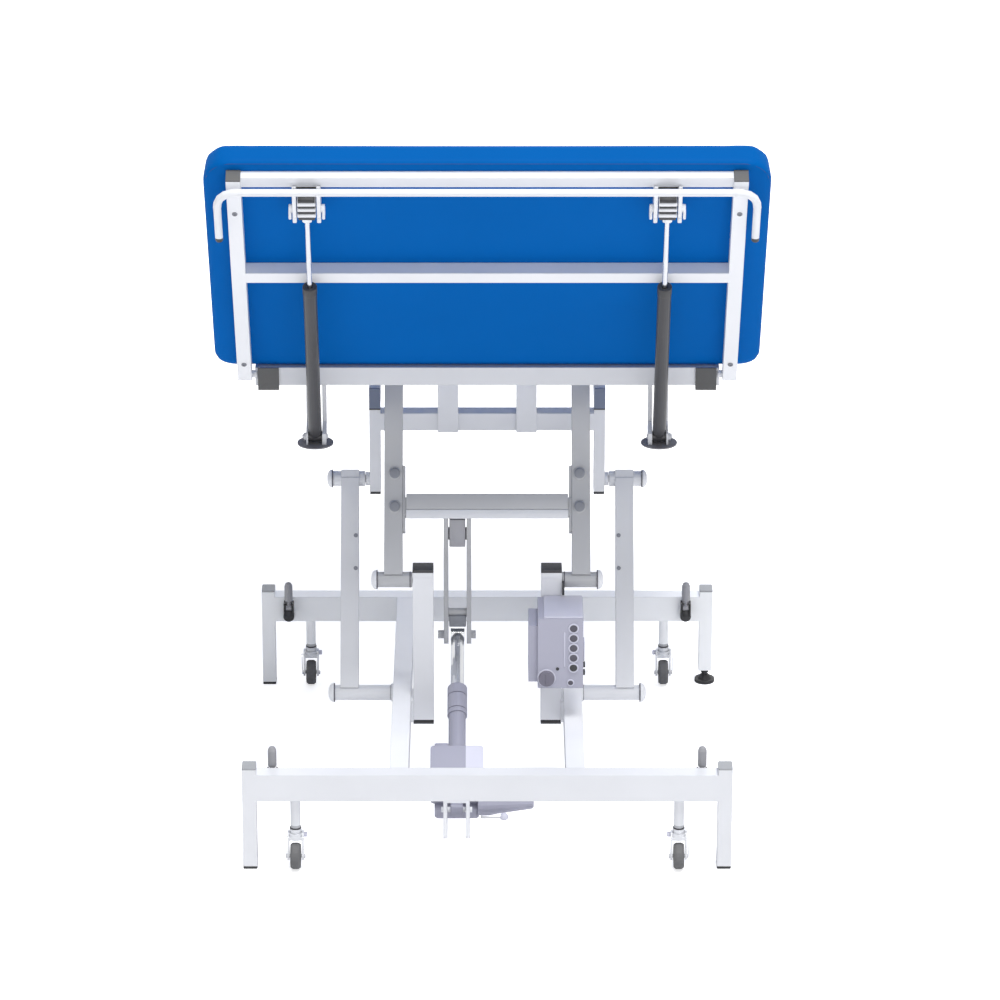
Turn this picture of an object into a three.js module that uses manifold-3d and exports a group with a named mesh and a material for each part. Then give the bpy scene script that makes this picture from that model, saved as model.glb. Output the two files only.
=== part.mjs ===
import * as THREE from "three";
import { mergeVertices } from "three/addons/utils/BufferGeometryUtils.js";
import Module from "manifold-3d";

const wasm = await Module();
wasm.setup();

// Driving sizes, all in millimetres and degrees.
// Y is measured from the front face of the head beam, and the whole table is moved to its origin at the end.

// Pads
const PAD_HALF = 582;
const PAD_THICK = 66;
const PAD_GAP = 0.3;
const PAD_CROWN = 5;
const PAD_EDGE = 8;
const HEAD_CORNER = 60;
const HINGE_CORNER = 40;
const BACK_PAD_LENGTH = 650;
const SEAT_PAD_LENGTH = 1174;

// Base
const BASE_HALF = 518.5;
const BASE_LENGTH = 1024;
const LEG_WIDE = 30;
const LEG_DEEP = 40;
const LEG_TOP = 230;
const LEG_CAP = 3.5;
const FOOT_TALL = 6;
const SHORT_LEG_BOTTOM = 34;
const BEAM_BOTTOM = 158;
const BEAM_TALL = 60;
const RAIL_INNER = 167;
const RAIL_WIDE = 40;

// Standing posts
const POST_SIZE = 45;
const POST_INNER = 117;
const POST_Y = 413.5;
const POST_TOP = 508;
const POST_CAP = 4;

// Lifting arms
const ARM_ANGLE = 61.5;
const ARM_LENGTH = 476.5;
const ARM_SIZE = 40;
const ARM_START = 9;
const ARM_END = 18;
const INNER_ARM_X = 184;
const INNER_ARM_Y = 436;
const INNER_ARM_Z = 486.5;
const OUTER_ARM_X = 284;
const OUTER_ARM_Y = 503;
const OUTER_ARM_Z = 189.5;
const PIN_R = 8;
const BORE_R = 8.6;
const SLEEVE_R = 17;
const SIDE_PLAY = 1;

// Crossbar and lever plates
const CROSSBAR_AT = 157.5;
const LEVER_X = [-95, -45];
const LEVER_PLATE = 10;
const BOLT_Y = 505;
const BOLT_Z = 328;
const LEVER_END_R = 21;
const FLANGE_BELOW = 55;
const FLANGE_ABOVE = 90;
const LOW_SPACER_AT = 52;
const LOW_SPACER_R = 10;
const HIGH_SPACER_DOWN = 60;
const HIGH_SPACER_R = 14;
const BOLT_HEADS_AT = [157, 230];
const BOLT_HEAD_R = 14;

// Actuator
const TAIL_Y = 74.5;
const TAIL_Z = 104.3;
const ACTUATOR_X = -65;
const EAR_THICK = 8;
const EAR_INNER = 20;
const HOUSING_HALF = 57;
const HOUSING_AT = [42, 150];
const HOUSING_Z = [-34, 30];
const SUMP_AT = [24, 112];
const SUMP_HALF = 48;
const SUMP_DROP = 62;
const MOTOR_R = 29;
const MOTOR_END_R = 15;
const MOTOR_AT = 44;
const MOTOR_DROP = 30;
const MOTOR_END = 165;
const NECK_R = 21;
const NECK_END = 160;
const TUBE_R = 18.5;
const TUBE_END = 334;
const TUBE_BORE_FROM = 170;
const RING_R = 21.5;
const RING_FROM = 255;
const RING_GROOVES = [267, 307];
const RING_GROOVE = 2.4;
const ROD_R = 14.5;
const ROD_START = 308;
const ROD_EYE_R = 15;
const ROD_EYE = 30;

// Upper frames
const FRAME_INSET = 90.5;
const FRAME_WIDE = 45;
const FRAME_TALL = 50;
const HEAD_TUBE_TALL = 40;
const FRAME_HEAD = 455.5;
const FRAME_OVER_PIN = 12.25;
const END_CAP = 4;
const HANGER_X = 235.5;
const HANGER_WIDE = 25;
const HANGER_BEFORE_PIN = 22.4;
const HANGER_END = 1240;
const HANGER_DROP = 138.5;
const HANGER_TUBE = 40;
const HANGER_TUBE_DROP = 10;
const UPRIGHT_INNER = 64;
const UPRIGHT_WIDE = 45;
const UPRIGHT_DEEP = 40;
const HANGING_POST_DEEP = 36;
const HANGING_POST_BELOW_PIN = 24.3;

// Backrest
const BACK_ANGLE = 59.2;
const BACK_RISE_MORE = 10;
const HINGE_Y = 462.5;
const HINGE_DROP = 15;
const BACK_RAIL_INSET = 48;
const BACK_TUBE = 30;
const BACK_RAIL_LENGTH = 635;
const TOP_TUBE_TALL = 27;
const TOP_TUBE_DEEP = 20;
const BACK_PAD_START = 6;
const MIDDLE_TUBE_AT = 318;
const RELEASE_AT = 620;
const RELEASE_OFFSET = -31;
const RELEASE_R = 8;
const RELEASE_PLAY = 0.8;
const RELEASE_END_INSET = 29;
const RELEASE_BEND = 46;
const RELEASE_END_AT = 474;

// Gas springs
const SPRING_INSET = 212;
const SPRING_Y = 455;
const SPRING_DROP = 105.5;
const SPRING_TOP_AT = 562;
const SPRING_TOP_OFFSET = -22;
const SPRING_R = 14.6;
const SPRING_EYE = 11.5;
const SPRING_CYLINDER_START = 14;
const SPRING_CYLINDER = 446;
const SPRING_TAB_OUT = 15.2;
const SPRING_TAB_THICK = [4, 9];
const SPRING_DISC_R = 39;
const SPRING_DISC_THICK = 3;
const SPRING_DISC_DROP = 13;
const SPRING_ROD_R = 5.5;
const SPRING_HEAD = 32;
const SPRING_HEAD_R = 12;
const SPRING_BLOCK = 32;
const SPRING_BLOCK_DEEP = 22;
const SPRING_BLOCK_OVER = 9;

// Castors
const CASTOR_INSET = 111.5;
const STEM_R = 7;
const GUIDE_R = 11;
const GUIDE_BOTTOM = 88;
const TRAIL = 17;
const WHEEL_R = 28.5;
const WHEEL_WIDE = 22;
const WHEEL_LIFT = 1;
const CROWN_BOTTOM = 64;
const CROWN_TOP = 78;

// Castor levers
const LEVER_INSET = 62.5;
const LEVER_PIVOT_Z = 198;
const LEVER_STAND_OFF = 15;
const HANDLE_R = 9.5;
const HANDLE_TOP = 262;

// Control box
const BOX_X = [109, 207];
const BOX_WING = 89;
const BOX_FRONT = 290;
const BOX_Z = [293, 455];
const SOCKET_X = 186;
const SOCKET_PITCH = 23;
const SOCKET_FIRST_Z = 341;
const DIAL_X = 128;
const DIAL_Z = 317;
const DIAL_R = 17;

// Sizes that follow from the driving ones
const RADIAN = Math.PI / 180;
const ARM_TURN = ARM_ANGLE * RADIAN;
const UPPER_INNER_Y = INNER_ARM_Y + ARM_LENGTH * Math.cos(ARM_TURN);
const UPPER_INNER_Z = INNER_ARM_Z + ARM_LENGTH * Math.sin(ARM_TURN);
const UPPER_OUTER_Y = OUTER_ARM_Y + ARM_LENGTH * Math.cos(ARM_TURN);
const UPPER_OUTER_Z = OUTER_ARM_Z + ARM_LENGTH * Math.sin(ARM_TURN);
const toTenth = (size) => Math.round(size * 10) / 10;

const BEAM_TOP = BEAM_BOTTOM + BEAM_TALL;
const RAIL_OUTER = RAIL_INNER + RAIL_WIDE;
const POST_OUTER = POST_INNER + POST_SIZE;
const FOOT_BEAM_Y = BASE_LENGTH - LEG_DEEP;
const CASTOR_X = BASE_HALF - CASTOR_INSET;
const LEVER_HANDLE_X = BASE_HALF - LEVER_INSET;

const FRAME_BOTTOM = toTenth(UPPER_INNER_Z + FRAME_OVER_PIN);
const FRAME_TOP = FRAME_BOTTOM + FRAME_TALL;
const FRAME_OUTER = PAD_HALF - FRAME_INSET;
const FRAME_INNER = FRAME_OUTER - FRAME_WIDE;
const HANGER_HEAD = toTenth(UPPER_OUTER_Y - HANGER_BEFORE_PIN);
const HANGER_BOTTOM = FRAME_BOTTOM - HANGER_DROP;
const HANGER_TOP = HANGER_BOTTOM + FRAME_TALL;
const HANGER_OUTER = HANGER_X + HANGER_WIDE;
const HANGING_POST_BOTTOM = toTenth(UPPER_OUTER_Z - HANGING_POST_BELOW_PIN);

const HINGE_Z = FRAME_TOP - HINGE_DROP;
const BACK_RAIL_OUTER = PAD_HALF - BACK_RAIL_INSET;
const RELEASE_END_X = PAD_HALF - RELEASE_END_INSET;
const SPRING_X = PAD_HALF - SPRING_INSET;
const SPRING_Z = FRAME_BOTTOM - SPRING_DROP;

const PAD_TOP_ABOVE_HINGE = HINGE_DROP + PAD_THICK;
const LOW_CORNER_TURN =
  Math.atan2(PAD_TOP_ABOVE_HINGE, -BACK_PAD_START) - (BACK_ANGLE + BACK_RISE_MORE) * RADIAN;
const LOW_CORNER_REACH = Math.hypot(PAD_TOP_ABOVE_HINGE, BACK_PAD_START) * Math.cos(LOW_CORNER_TURN);
const SEAT_HEAD = Math.ceil(HINGE_Y + LOW_CORNER_REACH + 3);
const SEAT_END = SEAT_HEAD + SEAT_PAD_LENGTH;

const CASTOR_LOW_Y = LEG_DEEP / 2 - TRAIL - WHEEL_R;
const CENTRE_Y = (CASTOR_LOW_Y + SEAT_END) / 2;

// Helpers that turn shapes into solids and solids into named meshes
function solid(geometry) {
  const bare = geometry.index ? geometry.toNonIndexed() : geometry.clone();
  bare.deleteAttribute("normal");
  bare.deleteAttribute("uv");
  const merged = mergeVertices(bare, 1e-4);
  return new wasm.Manifold(
    new wasm.Mesh({
      numProp: 3,
      vertProperties: merged.attributes.position.array,
      triVerts: new Uint32Array(merged.index.array),
    }),
  );
}

function block(x, y, z) {
  const low = new THREE.Vector3(Math.min(...x), Math.min(...y), Math.min(...z));
  const high = new THREE.Vector3(Math.max(...x), Math.max(...y), Math.max(...z));
  const size = high.clone().sub(low);
  const centre = low.add(high).multiplyScalar(0.5);
  return solid(new THREE.BoxGeometry(size.x, size.y, size.z).translate(centre.x, centre.y, centre.z));
}

function barX(x, y, z, radius, facets = 14) {
  const length = Math.abs(x[1] - x[0]);
  const shape = new THREE.CylinderGeometry(radius, radius, length, facets).rotateZ(Math.PI / 2);
  return solid(shape.translate((x[0] + x[1]) / 2, y, z));
}

function barY(x, y, z, radius, facets = 14) {
  const length = Math.abs(y[1] - y[0]);
  const shape = new THREE.CylinderGeometry(radius, radius, length, facets);
  return solid(shape.translate(x, (y[0] + y[1]) / 2, z));
}

function barZ(x, y, z, radius, facets = 14, topRadius = radius) {
  const length = Math.abs(z[1] - z[0]);
  const shape = new THREE.CylinderGeometry(topRadius, radius, length, facets).rotateX(Math.PI / 2);
  return solid(shape.translate(x, y, (z[0] + z[1]) / 2));
}

function turnedProfile(points, facets) {
  return new THREE.LatheGeometry(points.map(([r, h]) => new THREE.Vector2(r, h)), facets);
}

// A rounded bolt head whose flat face is at x and which points away from the middle of the table
function domeX(side, x, y, z, radius, tall) {
  const shape = turnedProfile(
    [
      [0, 0],
      [radius, 0],
      [radius, tall * 0.35],
      [radius * 0.8, tall * 0.72],
      [radius * 0.45, tall * 0.94],
      [0, tall],
    ],
    14,
  );
  return solid(shape.rotateZ((-side * Math.PI) / 2).translate(side * x, y, z));
}

// A flat outline in Y and Z, drawn as a list of corner points, given a thickness along X
function plateX(x, corners) {
  const outline = new THREE.Shape(corners.map(([y, z]) => new THREE.Vector2(y, z)));
  const thick = Math.abs(x[1] - x[0]);
  const shape = new THREE.ExtrudeGeometry(outline, { depth: thick, bevelEnabled: false });
  shape.applyMatrix4(
    new THREE.Matrix4().makeBasis(
      new THREE.Vector3(0, 1, 0),
      new THREE.Vector3(0, 0, 1),
      new THREE.Vector3(1, 0, 0),
    ),
  );
  return solid(shape.translate(Math.min(...x), 0, 0));
}

// A link outline: two round ends joined by straight sides
function linkX(x, from, to, fromRadius, toRadius) {
  const along = Math.atan2(to[1] - from[1], to[0] - from[0]);
  const points = [];
  const steps = 6;
  for (let i = 0; i <= steps; i++) {
    const turn = along - Math.PI / 2 + (Math.PI * i) / steps;
    points.push([to[0] + toRadius * Math.cos(turn), to[1] + toRadius * Math.sin(turn)]);
  }
  for (let i = 0; i <= steps; i++) {
    const turn = along + Math.PI / 2 + (Math.PI * i) / steps;
    points.push([from[0] + fromRadius * Math.cos(turn), from[1] + fromRadius * Math.sin(turn)]);
  }
  return plateX(x, points);
}

function roundedBlockZ(x, y, z, radius) {
  const [x0, x1] = [Math.min(...x) + radius, Math.max(...x) - radius];
  const [y0, y1] = [Math.min(...y) + radius, Math.max(...y) - radius];
  const outline = new THREE.Shape();
  outline.absarc(x1, y1, radius, 0, Math.PI / 2, false);
  outline.absarc(x0, y1, radius, Math.PI / 2, Math.PI, false);
  outline.absarc(x0, y0, radius, Math.PI, 1.5 * Math.PI, false);
  outline.absarc(x1, y0, radius, 1.5 * Math.PI, 2 * Math.PI, false);
  const tall = Math.abs(z[1] - z[0]);
  const options = { depth: tall, bevelEnabled: false, curveSegments: 4 };
  const shape = new THREE.ExtrudeGeometry(outline, options);
  return solid(shape.translate(0, 0, Math.min(...z)));
}

const join = (pieces) => pieces.reduce((all, piece) => all.add(piece));
const cut = (body, pieces) => pieces.reduce((rest, piece) => rest.subtract(piece), body);

function paint(color, roughness, metalness = 0) {
  return new THREE.MeshStandardMaterial({ color, roughness, metalness });
}

const WHITE = () => paint(0xe9eaf0, 0.35, 0.1);
const BLUE = () => paint(0x0069cd, 0.45);
const CAP_GREY = () => paint(0x5a5a5a, 0.5);
const LEG_GREY = () => paint(0x969699, 0.5);
const BLACK = () => paint(0x151517, 0.5);
const CHROME = () => paint(0xd5d8dc, 0.15, 1);
const SPRING_GREY = () => paint(0x5a5a5f, 0.4, 0.3);
const LAVENDER = () => paint(0xc8c8d7, 0.5);
const WHEEL_GREY = () => paint(0x5f5f62, 0.7);
const HANDLE_GREY = () => paint(0x96969b, 0.5);

function mesh(name, body, material) {
  const cut = body.getMesh();
  const count = cut.numVert;
  const stride = cut.numProp;
  const positions = new Float32Array(count * 3);
  for (let i = 0; i < count; i++) {
    positions.set(cut.vertProperties.subarray(i * stride, i * stride + 3), i * 3);
  }
  const geometry = new THREE.BufferGeometry();
  geometry.setAttribute("position", new THREE.BufferAttribute(positions, 3));
  geometry.setIndex(new THREE.BufferAttribute(cut.triVerts, 1));
  const flat = geometry.toNonIndexed();
  flat.computeVertexNormals();
  const made = new THREE.Mesh(flat, material);
  made.name = name;
  return made;
}

const table = new THREE.Group();
table.name = "bobath_table";
const base = new THREE.Group();
table.add(base);
const SIDES = [
  ["left", -1],
  ["right", 1],
];

// Base cross beams with their legs, castor guide tubes and castor lever brackets
function crossBeam(y0, inward, shortRightLeg) {
  const y = [y0, y0 + LEG_DEEP];
  const inside = inward > 0 ? y[1] : y[0];
  const pivotY = inside + inward * LEVER_STAND_OFF;
  const pieces = [block([-BASE_HALF + LEG_WIDE, BASE_HALF - LEG_WIDE], y, [BEAM_BOTTOM, BEAM_TOP])];
  const holes = [];
  for (const [, side] of SIDES) {
    const short = shortRightLeg && side > 0;
    const bottom = short ? SHORT_LEG_BOTTOM : FOOT_TALL;
    pieces.push(block([side * (BASE_HALF - LEG_WIDE), side * BASE_HALF], y, [bottom, LEG_TOP]));
    const x = side * CASTOR_X;
    pieces.push(barZ(x, y0 + LEG_DEEP / 2, [GUIDE_BOTTOM, BEAM_BOTTOM + 2], GUIDE_R));
    holes.push(barZ(x, y0 + LEG_DEEP / 2, [GUIDE_BOTTOM - 1, BEAM_TOP - 20], STEM_R + 0.5));
    const lever = side * LEVER_HANDLE_X;
    for (const ear of [-1, 1]) {
      pieces.push(
        block(
          [lever + ear * 7.5, lever + ear * 11.5],
          [inside - inward, pivotY + inward * 8],
          [LEVER_PIVOT_Z - 20, LEVER_PIVOT_Z + 12],
        ),
      );
    }
    pieces.push(barX([lever - 8, lever + 8], pivotY, LEVER_PIVOT_Z, 3, 12));
    if (short) {
      const x2 = side * (BASE_HALF - LEG_WIDE / 2);
      holes.push(barZ(x2, y0 + LEG_DEEP / 2, [SHORT_LEG_BOTTOM - 1, 90], 6.5));
    }
  }
  return cut(join(pieces), holes);
}
base.add(mesh("base_head_beam", crossBeam(0, 1, false), WHITE()));
base.add(mesh("base_foot_beam", crossBeam(FOOT_BEAM_Y, -1, true), WHITE()));

// Leg caps, plain feet and the levelling foot
for (const [end, y0] of [
  ["head", 0],
  ["foot", FOOT_BEAM_Y],
]) {
  for (const [word, side] of SIDES) {
    const x = [side * (BASE_HALF - LEG_WIDE), side * BASE_HALF];
    const y = [y0, y0 + LEG_DEEP];
    const legCap = roundedBlockZ(x, y, [LEG_TOP, LEG_TOP + LEG_CAP], 3);
    base.add(mesh(`leg_cap_${end}_${word}`, legCap, LEG_GREY()));
    if (end === "foot" && side > 0) continue;
    base.add(mesh(`leg_foot_${end}_${word}`, roundedBlockZ(x, y, [0, FOOT_TALL], 3), BLACK()));
  }
}
const levelX = BASE_HALF - LEG_WIDE / 2;
const levelY = FOOT_BEAM_Y + LEG_DEEP / 2;
base.add(
  mesh(
    "levelling_foot",
    join([
      barZ(levelX, levelY, [0, 8], 23, 28),
      barZ(levelX, levelY, [8, 18], 16, 24, 9),
      barZ(levelX, levelY, [17, 80], 6, 16),
      barZ(levelX, levelY, [24, SHORT_LEG_BOTTOM - 0.5], 10, 6),
    ]),
    BLACK(),
  ),
);

// Base side rails, each with its standing post and the fixed pins of its two arms
for (const [word, side] of SIDES) {
  const rail = join([
    block([side * RAIL_INNER, side * RAIL_OUTER], [LEG_DEEP, FOOT_BEAM_Y], [BEAM_BOTTOM, BEAM_TOP]),
    block([side * POST_INNER, side * POST_OUTER], [POST_Y, POST_Y + POST_SIZE], [BEAM_BOTTOM, POST_TOP]),
    block(
      [side * (POST_OUTER - 1), side * (RAIL_INNER + 1)],
      [POST_Y - 10, POST_Y + POST_SIZE + 10],
      [BEAM_BOTTOM + 4, BEAM_TOP - 4],
    ),
    barX(
      [side * (POST_OUTER - 2), side * (INNER_ARM_X + ARM_SIZE + 16)],
      INNER_ARM_Y,
      INNER_ARM_Z,
      PIN_R,
    ),
    domeX(side, INNER_ARM_X + ARM_SIZE + 15, INNER_ARM_Y, INNER_ARM_Z, 21, 14),
    barX(
      [side * (RAIL_OUTER - 2), side * (OUTER_ARM_X + ARM_SIZE + 14)],
      OUTER_ARM_Y,
      OUTER_ARM_Z,
      PIN_R,
    ),
    barX([side * (RAIL_OUTER - 1), side * (RAIL_OUTER + 5)], OUTER_ARM_Y, OUTER_ARM_Z, 20),
    domeX(side, OUTER_ARM_X + ARM_SIZE + 13, OUTER_ARM_Y, OUTER_ARM_Z, 21, 14),
  ]);
  base.add(mesh(`base_rail_${word}`, rail, WHITE()));
  const top = block(
    [side * POST_INNER, side * POST_OUTER],
    [POST_Y, POST_Y + POST_SIZE],
    [POST_TOP, POST_TOP + POST_CAP],
  );
  base.add(mesh(`post_cap_${word}`, top, BLACK()));
}

// Two ears under the head beam that carry the actuator's tail pin
const earOuter = EAR_INNER + EAR_THICK;
const earPieces = [
  block([ACTUATOR_X - earOuter, ACTUATOR_X + earOuter], [4, LEG_DEEP - 4], [BEAM_BOTTOM - 6, BEAM_BOTTOM]),
  barX([ACTUATOR_X - earOuter - 5, ACTUATOR_X + earOuter + 5], TAIL_Y, TAIL_Z, 6, 16),
];
for (const ear of [-1, 1]) {
  earPieces.push(
    plateX(
      [ACTUATOR_X + ear * EAR_INNER, ACTUATOR_X + ear * earOuter],
      [
        [10, BEAM_BOTTOM],
        [12, 70],
        [30, 58],
        [TAIL_Y + 12, TAIL_Z - 22],
        [TAIL_Y + 22, TAIL_Z - 6],
        [TAIL_Y + 18, TAIL_Z + 16],
        [LEG_DEEP, BEAM_BOTTOM - 10],
        [LEG_DEEP - 4, BEAM_BOTTOM],
      ],
    ),
  );
}
base.add(mesh("actuator_bracket", join(earPieces), WHITE()));

// Control box on the right post, with a lower wing, five round sockets and a dial
const boxBack = POST_Y - PAD_GAP;
const sockets = [];
for (let i = 0; i < 5; i++) {
  sockets.push(barY(SOCKET_X, [BOX_FRONT - 1, BOX_FRONT + 7], SOCKET_FIRST_Z + i * SOCKET_PITCH, 9.5, 16));
}
const boxBody = join([
  block(BOX_X, [BOX_FRONT, boxBack], BOX_Z),
  block([BOX_WING, BOX_X[0] + 1], [BOX_FRONT + 12, boxBack - 12], [BOX_Z[0] + 10, BOX_Z[1] - 22]),
  block([BOX_X[1] - 1, BOX_X[1] + 3], [BOX_FRONT + 20, BOX_FRONT + 45], [BOX_Z[0] + 55, BOX_Z[0] + 100]),
]);
const dialPost = barY(DIAL_X, [BOX_FRONT - 3, BOX_FRONT + 1], DIAL_Z, 6, 16);
base.add(mesh("control_box", cut(boxBody, sockets).add(dialPost), LAVENDER()));
const dial = cut(barY(DIAL_X, [BOX_FRONT - 9, BOX_FRONT - 0.4], DIAL_Z, DIAL_R, 28), [
  barY(DIAL_X, [BOX_FRONT - 3.4, BOX_FRONT + 1], DIAL_Z, 6.5, 16),
]);
base.add(
  mesh(
    "control_box_dial",
    dial.add(block([DIAL_X - 2, DIAL_X + 2], [BOX_FRONT - 11, BOX_FRONT - 8], [DIAL_Z - 13, DIAL_Z + 13])),
    HANDLE_GREY(),
  ),
);

// Castors: a stem that slides in its guide tube, a fork that swivels on it and a wheel
for (const [end, y0] of [
  ["head", 0],
  ["foot", FOOT_BEAM_Y],
]) {
  for (const [word, side] of SIDES) {
    const x = side * CASTOR_X;
    const y = y0 + LEG_DEEP / 2;
    const axleY = y - TRAIL;
    const axleZ = WHEEL_R + WHEEL_LIFT;
    const stem = join([
      barZ(x, y, [CROWN_TOP + 0.5, 165], STEM_R, 12),
      barZ(x, y, [CROWN_TOP + 0.5, GUIDE_BOTTOM - 1], 13, 14),
      barZ(x, y, [CROWN_BOTTOM + 1, CROWN_TOP + 1], 5, 12),
    ]);
    base.add(mesh(`castor_stem_${end}_${word}`, stem, BLACK()));
    const cheeks = [-1, 1].map((cheek) =>
      linkX([x + cheek * 13.5, x + cheek * 17.5], [axleY, axleZ], [y - 2, CROWN_BOTTOM + 4], 9, 14),
    );
    const fork = join([
      barZ(x, y, [CROWN_BOTTOM, CROWN_TOP], 17.5, 16),
      block([x - 17.5, x + 17.5], [y - 16, y + 2], [CROWN_BOTTOM, CROWN_BOTTOM + 8]),
      ...cheeks,
      barX([x - 19.5, x + 19.5], axleY, axleZ, 4, 12),
    ]);
    const forkCut = cut(fork, [barZ(x, y, [CROWN_BOTTOM - 4, CROWN_TOP + 1], 5.5, 12)]);
    base.add(mesh(`castor_fork_${end}_${word}`, forkCut, CHROME()));
    const half = WHEEL_WIDE / 2;
    const tyre = turnedProfile(
      [
        [4.6, -half - 1],
        [9, -half],
        [25, -half],
        [WHEEL_R, -half + 5],
        [WHEEL_R, half - 5],
        [25, half],
        [9, half],
        [4.6, half + 1],
        [4.6, -half - 1],
      ],
      20,
    );
    const wheel = solid(tyre.rotateZ(Math.PI / 2).translate(x, axleY, axleZ));
    base.add(mesh(`castor_wheel_${end}_${word}`, wheel, WHEEL_GREY()));

    // Lever that drops the castor, on the side of the beam that faces the middle of the table
    const inward = end === "head" ? 1 : -1;
    const pivotY = (inward > 0 ? y0 + LEG_DEEP : y0) + inward * LEVER_STAND_OFF;
    const lever = side * LEVER_HANDLE_X;
    const grip = turnedProfile(
      [
        [0, 0],
        [HANDLE_R - 3, 0],
        [HANDLE_R, 4],
        [HANDLE_R, 39],
        [HANDLE_R - 3, 46],
        [0, 49],
      ],
      14,
    );
    const handle = cut(
      join([
        barX([lever - 6.5, lever + 6.5], pivotY, LEVER_PIVOT_Z, 7, 16),
        barZ(lever, pivotY, [LEVER_PIVOT_Z + 5, HANDLE_TOP - 48], 4.5, 12),
        solid(grip.rotateX(Math.PI / 2).translate(lever, pivotY, HANDLE_TOP - 49)),
      ]),
      [barX([lever - 8, lever + 8], pivotY, LEVER_PIVOT_Z, 3.5, 12)],
    );
    base.add(mesh(`castor_lever_${end}_${word}`, handle, HANDLE_GREY()));
  }
}

// Inner arms and the crossbar between them, drawn lying along Y from the lower pivot
const innerArms = new THREE.Group();
innerArms.position.set(0, INNER_ARM_Y, INNER_ARM_Z);
innerArms.rotation.x = ARM_TURN;
table.add(innerArms);
const half = ARM_SIZE / 2;
function arm(side, x, lowerSleeve, upperSleeve) {
  const outer = x + ARM_SIZE;
  const body = join([
    block([side * x, side * outer], [ARM_START, ARM_LENGTH], [-half, half]),
    block([side * x, side * outer], [ARM_LENGTH - 1, ARM_LENGTH + ARM_END], [-half + 2, half - 2]),
    barX([side * lowerSleeve[0], side * lowerSleeve[1]], 0, 0, SLEEVE_R, 18),
    barX([side * upperSleeve[0], side * upperSleeve[1]], ARM_LENGTH, 0, SLEEVE_R, 18),
  ]);
  return cut(body, [
    barX([side * (lowerSleeve[0] - 1), side * (lowerSleeve[1] + 1)], 0, 0, BORE_R),
    barX([side * (upperSleeve[0] - 1), side * (upperSleeve[1] + 1)], ARM_LENGTH, 0, BORE_R),
  ]);
}
for (const [word, side] of SIDES) {
  const heads = BOLT_HEADS_AT.map((at) => {
    const head = turnedProfile(
      [
        [0, -1],
        [BOLT_HEAD_R, -1],
        [BOLT_HEAD_R, 2],
        [BOLT_HEAD_R - 5, 5.5],
        [0, 7],
      ],
      14,
    );
    return solid(head.rotateX(Math.PI / 2).translate(side * (INNER_ARM_X + 17), at, half));
  });
  const body = arm(
    side,
    INNER_ARM_X,
    [POST_OUTER + SIDE_PLAY, INNER_ARM_X + ARM_SIZE + 14],
    [INNER_ARM_X - 6, INNER_ARM_X + ARM_SIZE + 9],
  );
  innerArms.add(mesh(`inner_arm_${word}`, join([body, ...heads]), WHITE()));
}

const intoArm = (y, z) => {
  const [dy, dz] = [y - INNER_ARM_Y, z - INNER_ARM_Z];
  return [
    dy * Math.cos(ARM_TURN) + dz * Math.sin(ARM_TURN),
    -dy * Math.sin(ARM_TURN) + dz * Math.cos(ARM_TURN),
  ];
};
const leverBolt = intoArm(BOLT_Y, BOLT_Z);
const leverTop = [CROSSBAR_AT, 0];
const reach = Math.hypot(leverBolt[0] - leverTop[0], leverBolt[1] - leverTop[1]);
const onLever = (fromBolt) => {
  const share = fromBolt / reach;
  return [
    leverBolt[0] + (leverTop[0] - leverBolt[0]) * share,
    leverBolt[1] + (leverTop[1] - leverBolt[1]) * share,
  ];
};
const crossPieces = [
  block(
    [-INNER_ARM_X + PAD_GAP, INNER_ARM_X - PAD_GAP],
    [CROSSBAR_AT - half, CROSSBAR_AT + half],
    [-half, half],
  ),
];
for (const [, side] of SIDES) {
  crossPieces.push(
    block(
      [side * (INNER_ARM_X - 6), side * (INNER_ARM_X - PAD_GAP)],
      [CROSSBAR_AT - FLANGE_BELOW, CROSSBAR_AT + FLANGE_ABOVE],
      [-half + 2, half - 1],
    ),
  );
}
for (const x of LEVER_X) {
  crossPieces.push(linkX([x, x + LEVER_PLATE], leverBolt, leverTop, LEVER_END_R, LEVER_END_R + 6));
}
const lowSpacer = onLever(LOW_SPACER_AT);
const highSpacer = onLever(reach - HIGH_SPACER_DOWN);
crossPieces.push(
  barX([LEVER_X[0] + 2, LEVER_X[1] + 2], lowSpacer[0], lowSpacer[1], LOW_SPACER_R, 16),
  barX([LEVER_X[0] + 2, LEVER_X[1] + 2], highSpacer[0], highSpacer[1], HIGH_SPACER_R, 16),
  barX([LEVER_X[0] - 13, LEVER_X[0] + 1], leverBolt[0], leverBolt[1], 10, 6),
  barX([LEVER_X[1] + LEVER_PLATE - 1, LEVER_X[1] + LEVER_PLATE + 10], leverBolt[0], leverBolt[1], 10, 6),
);
innerArms.add(mesh("lift_crossbar", join(crossPieces), WHITE()));

// Outer arms, drawn lying along Y from their lower pivots
const outerArms = new THREE.Group();
outerArms.position.set(0, OUTER_ARM_Y, OUTER_ARM_Z);
outerArms.rotation.x = ARM_TURN;
table.add(outerArms);
for (const [word, side] of SIDES) {
  const body = arm(
    side,
    OUTER_ARM_X,
    [RAIL_OUTER + 5 + SIDE_PLAY, OUTER_ARM_X + ARM_SIZE + 12],
    [HANGER_OUTER + 9 + SIDE_PLAY, OUTER_ARM_X + ARM_SIZE + 18],
  );
  outerArms.add(mesh(`outer_arm_${word}`, body, WHITE()));
}

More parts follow.
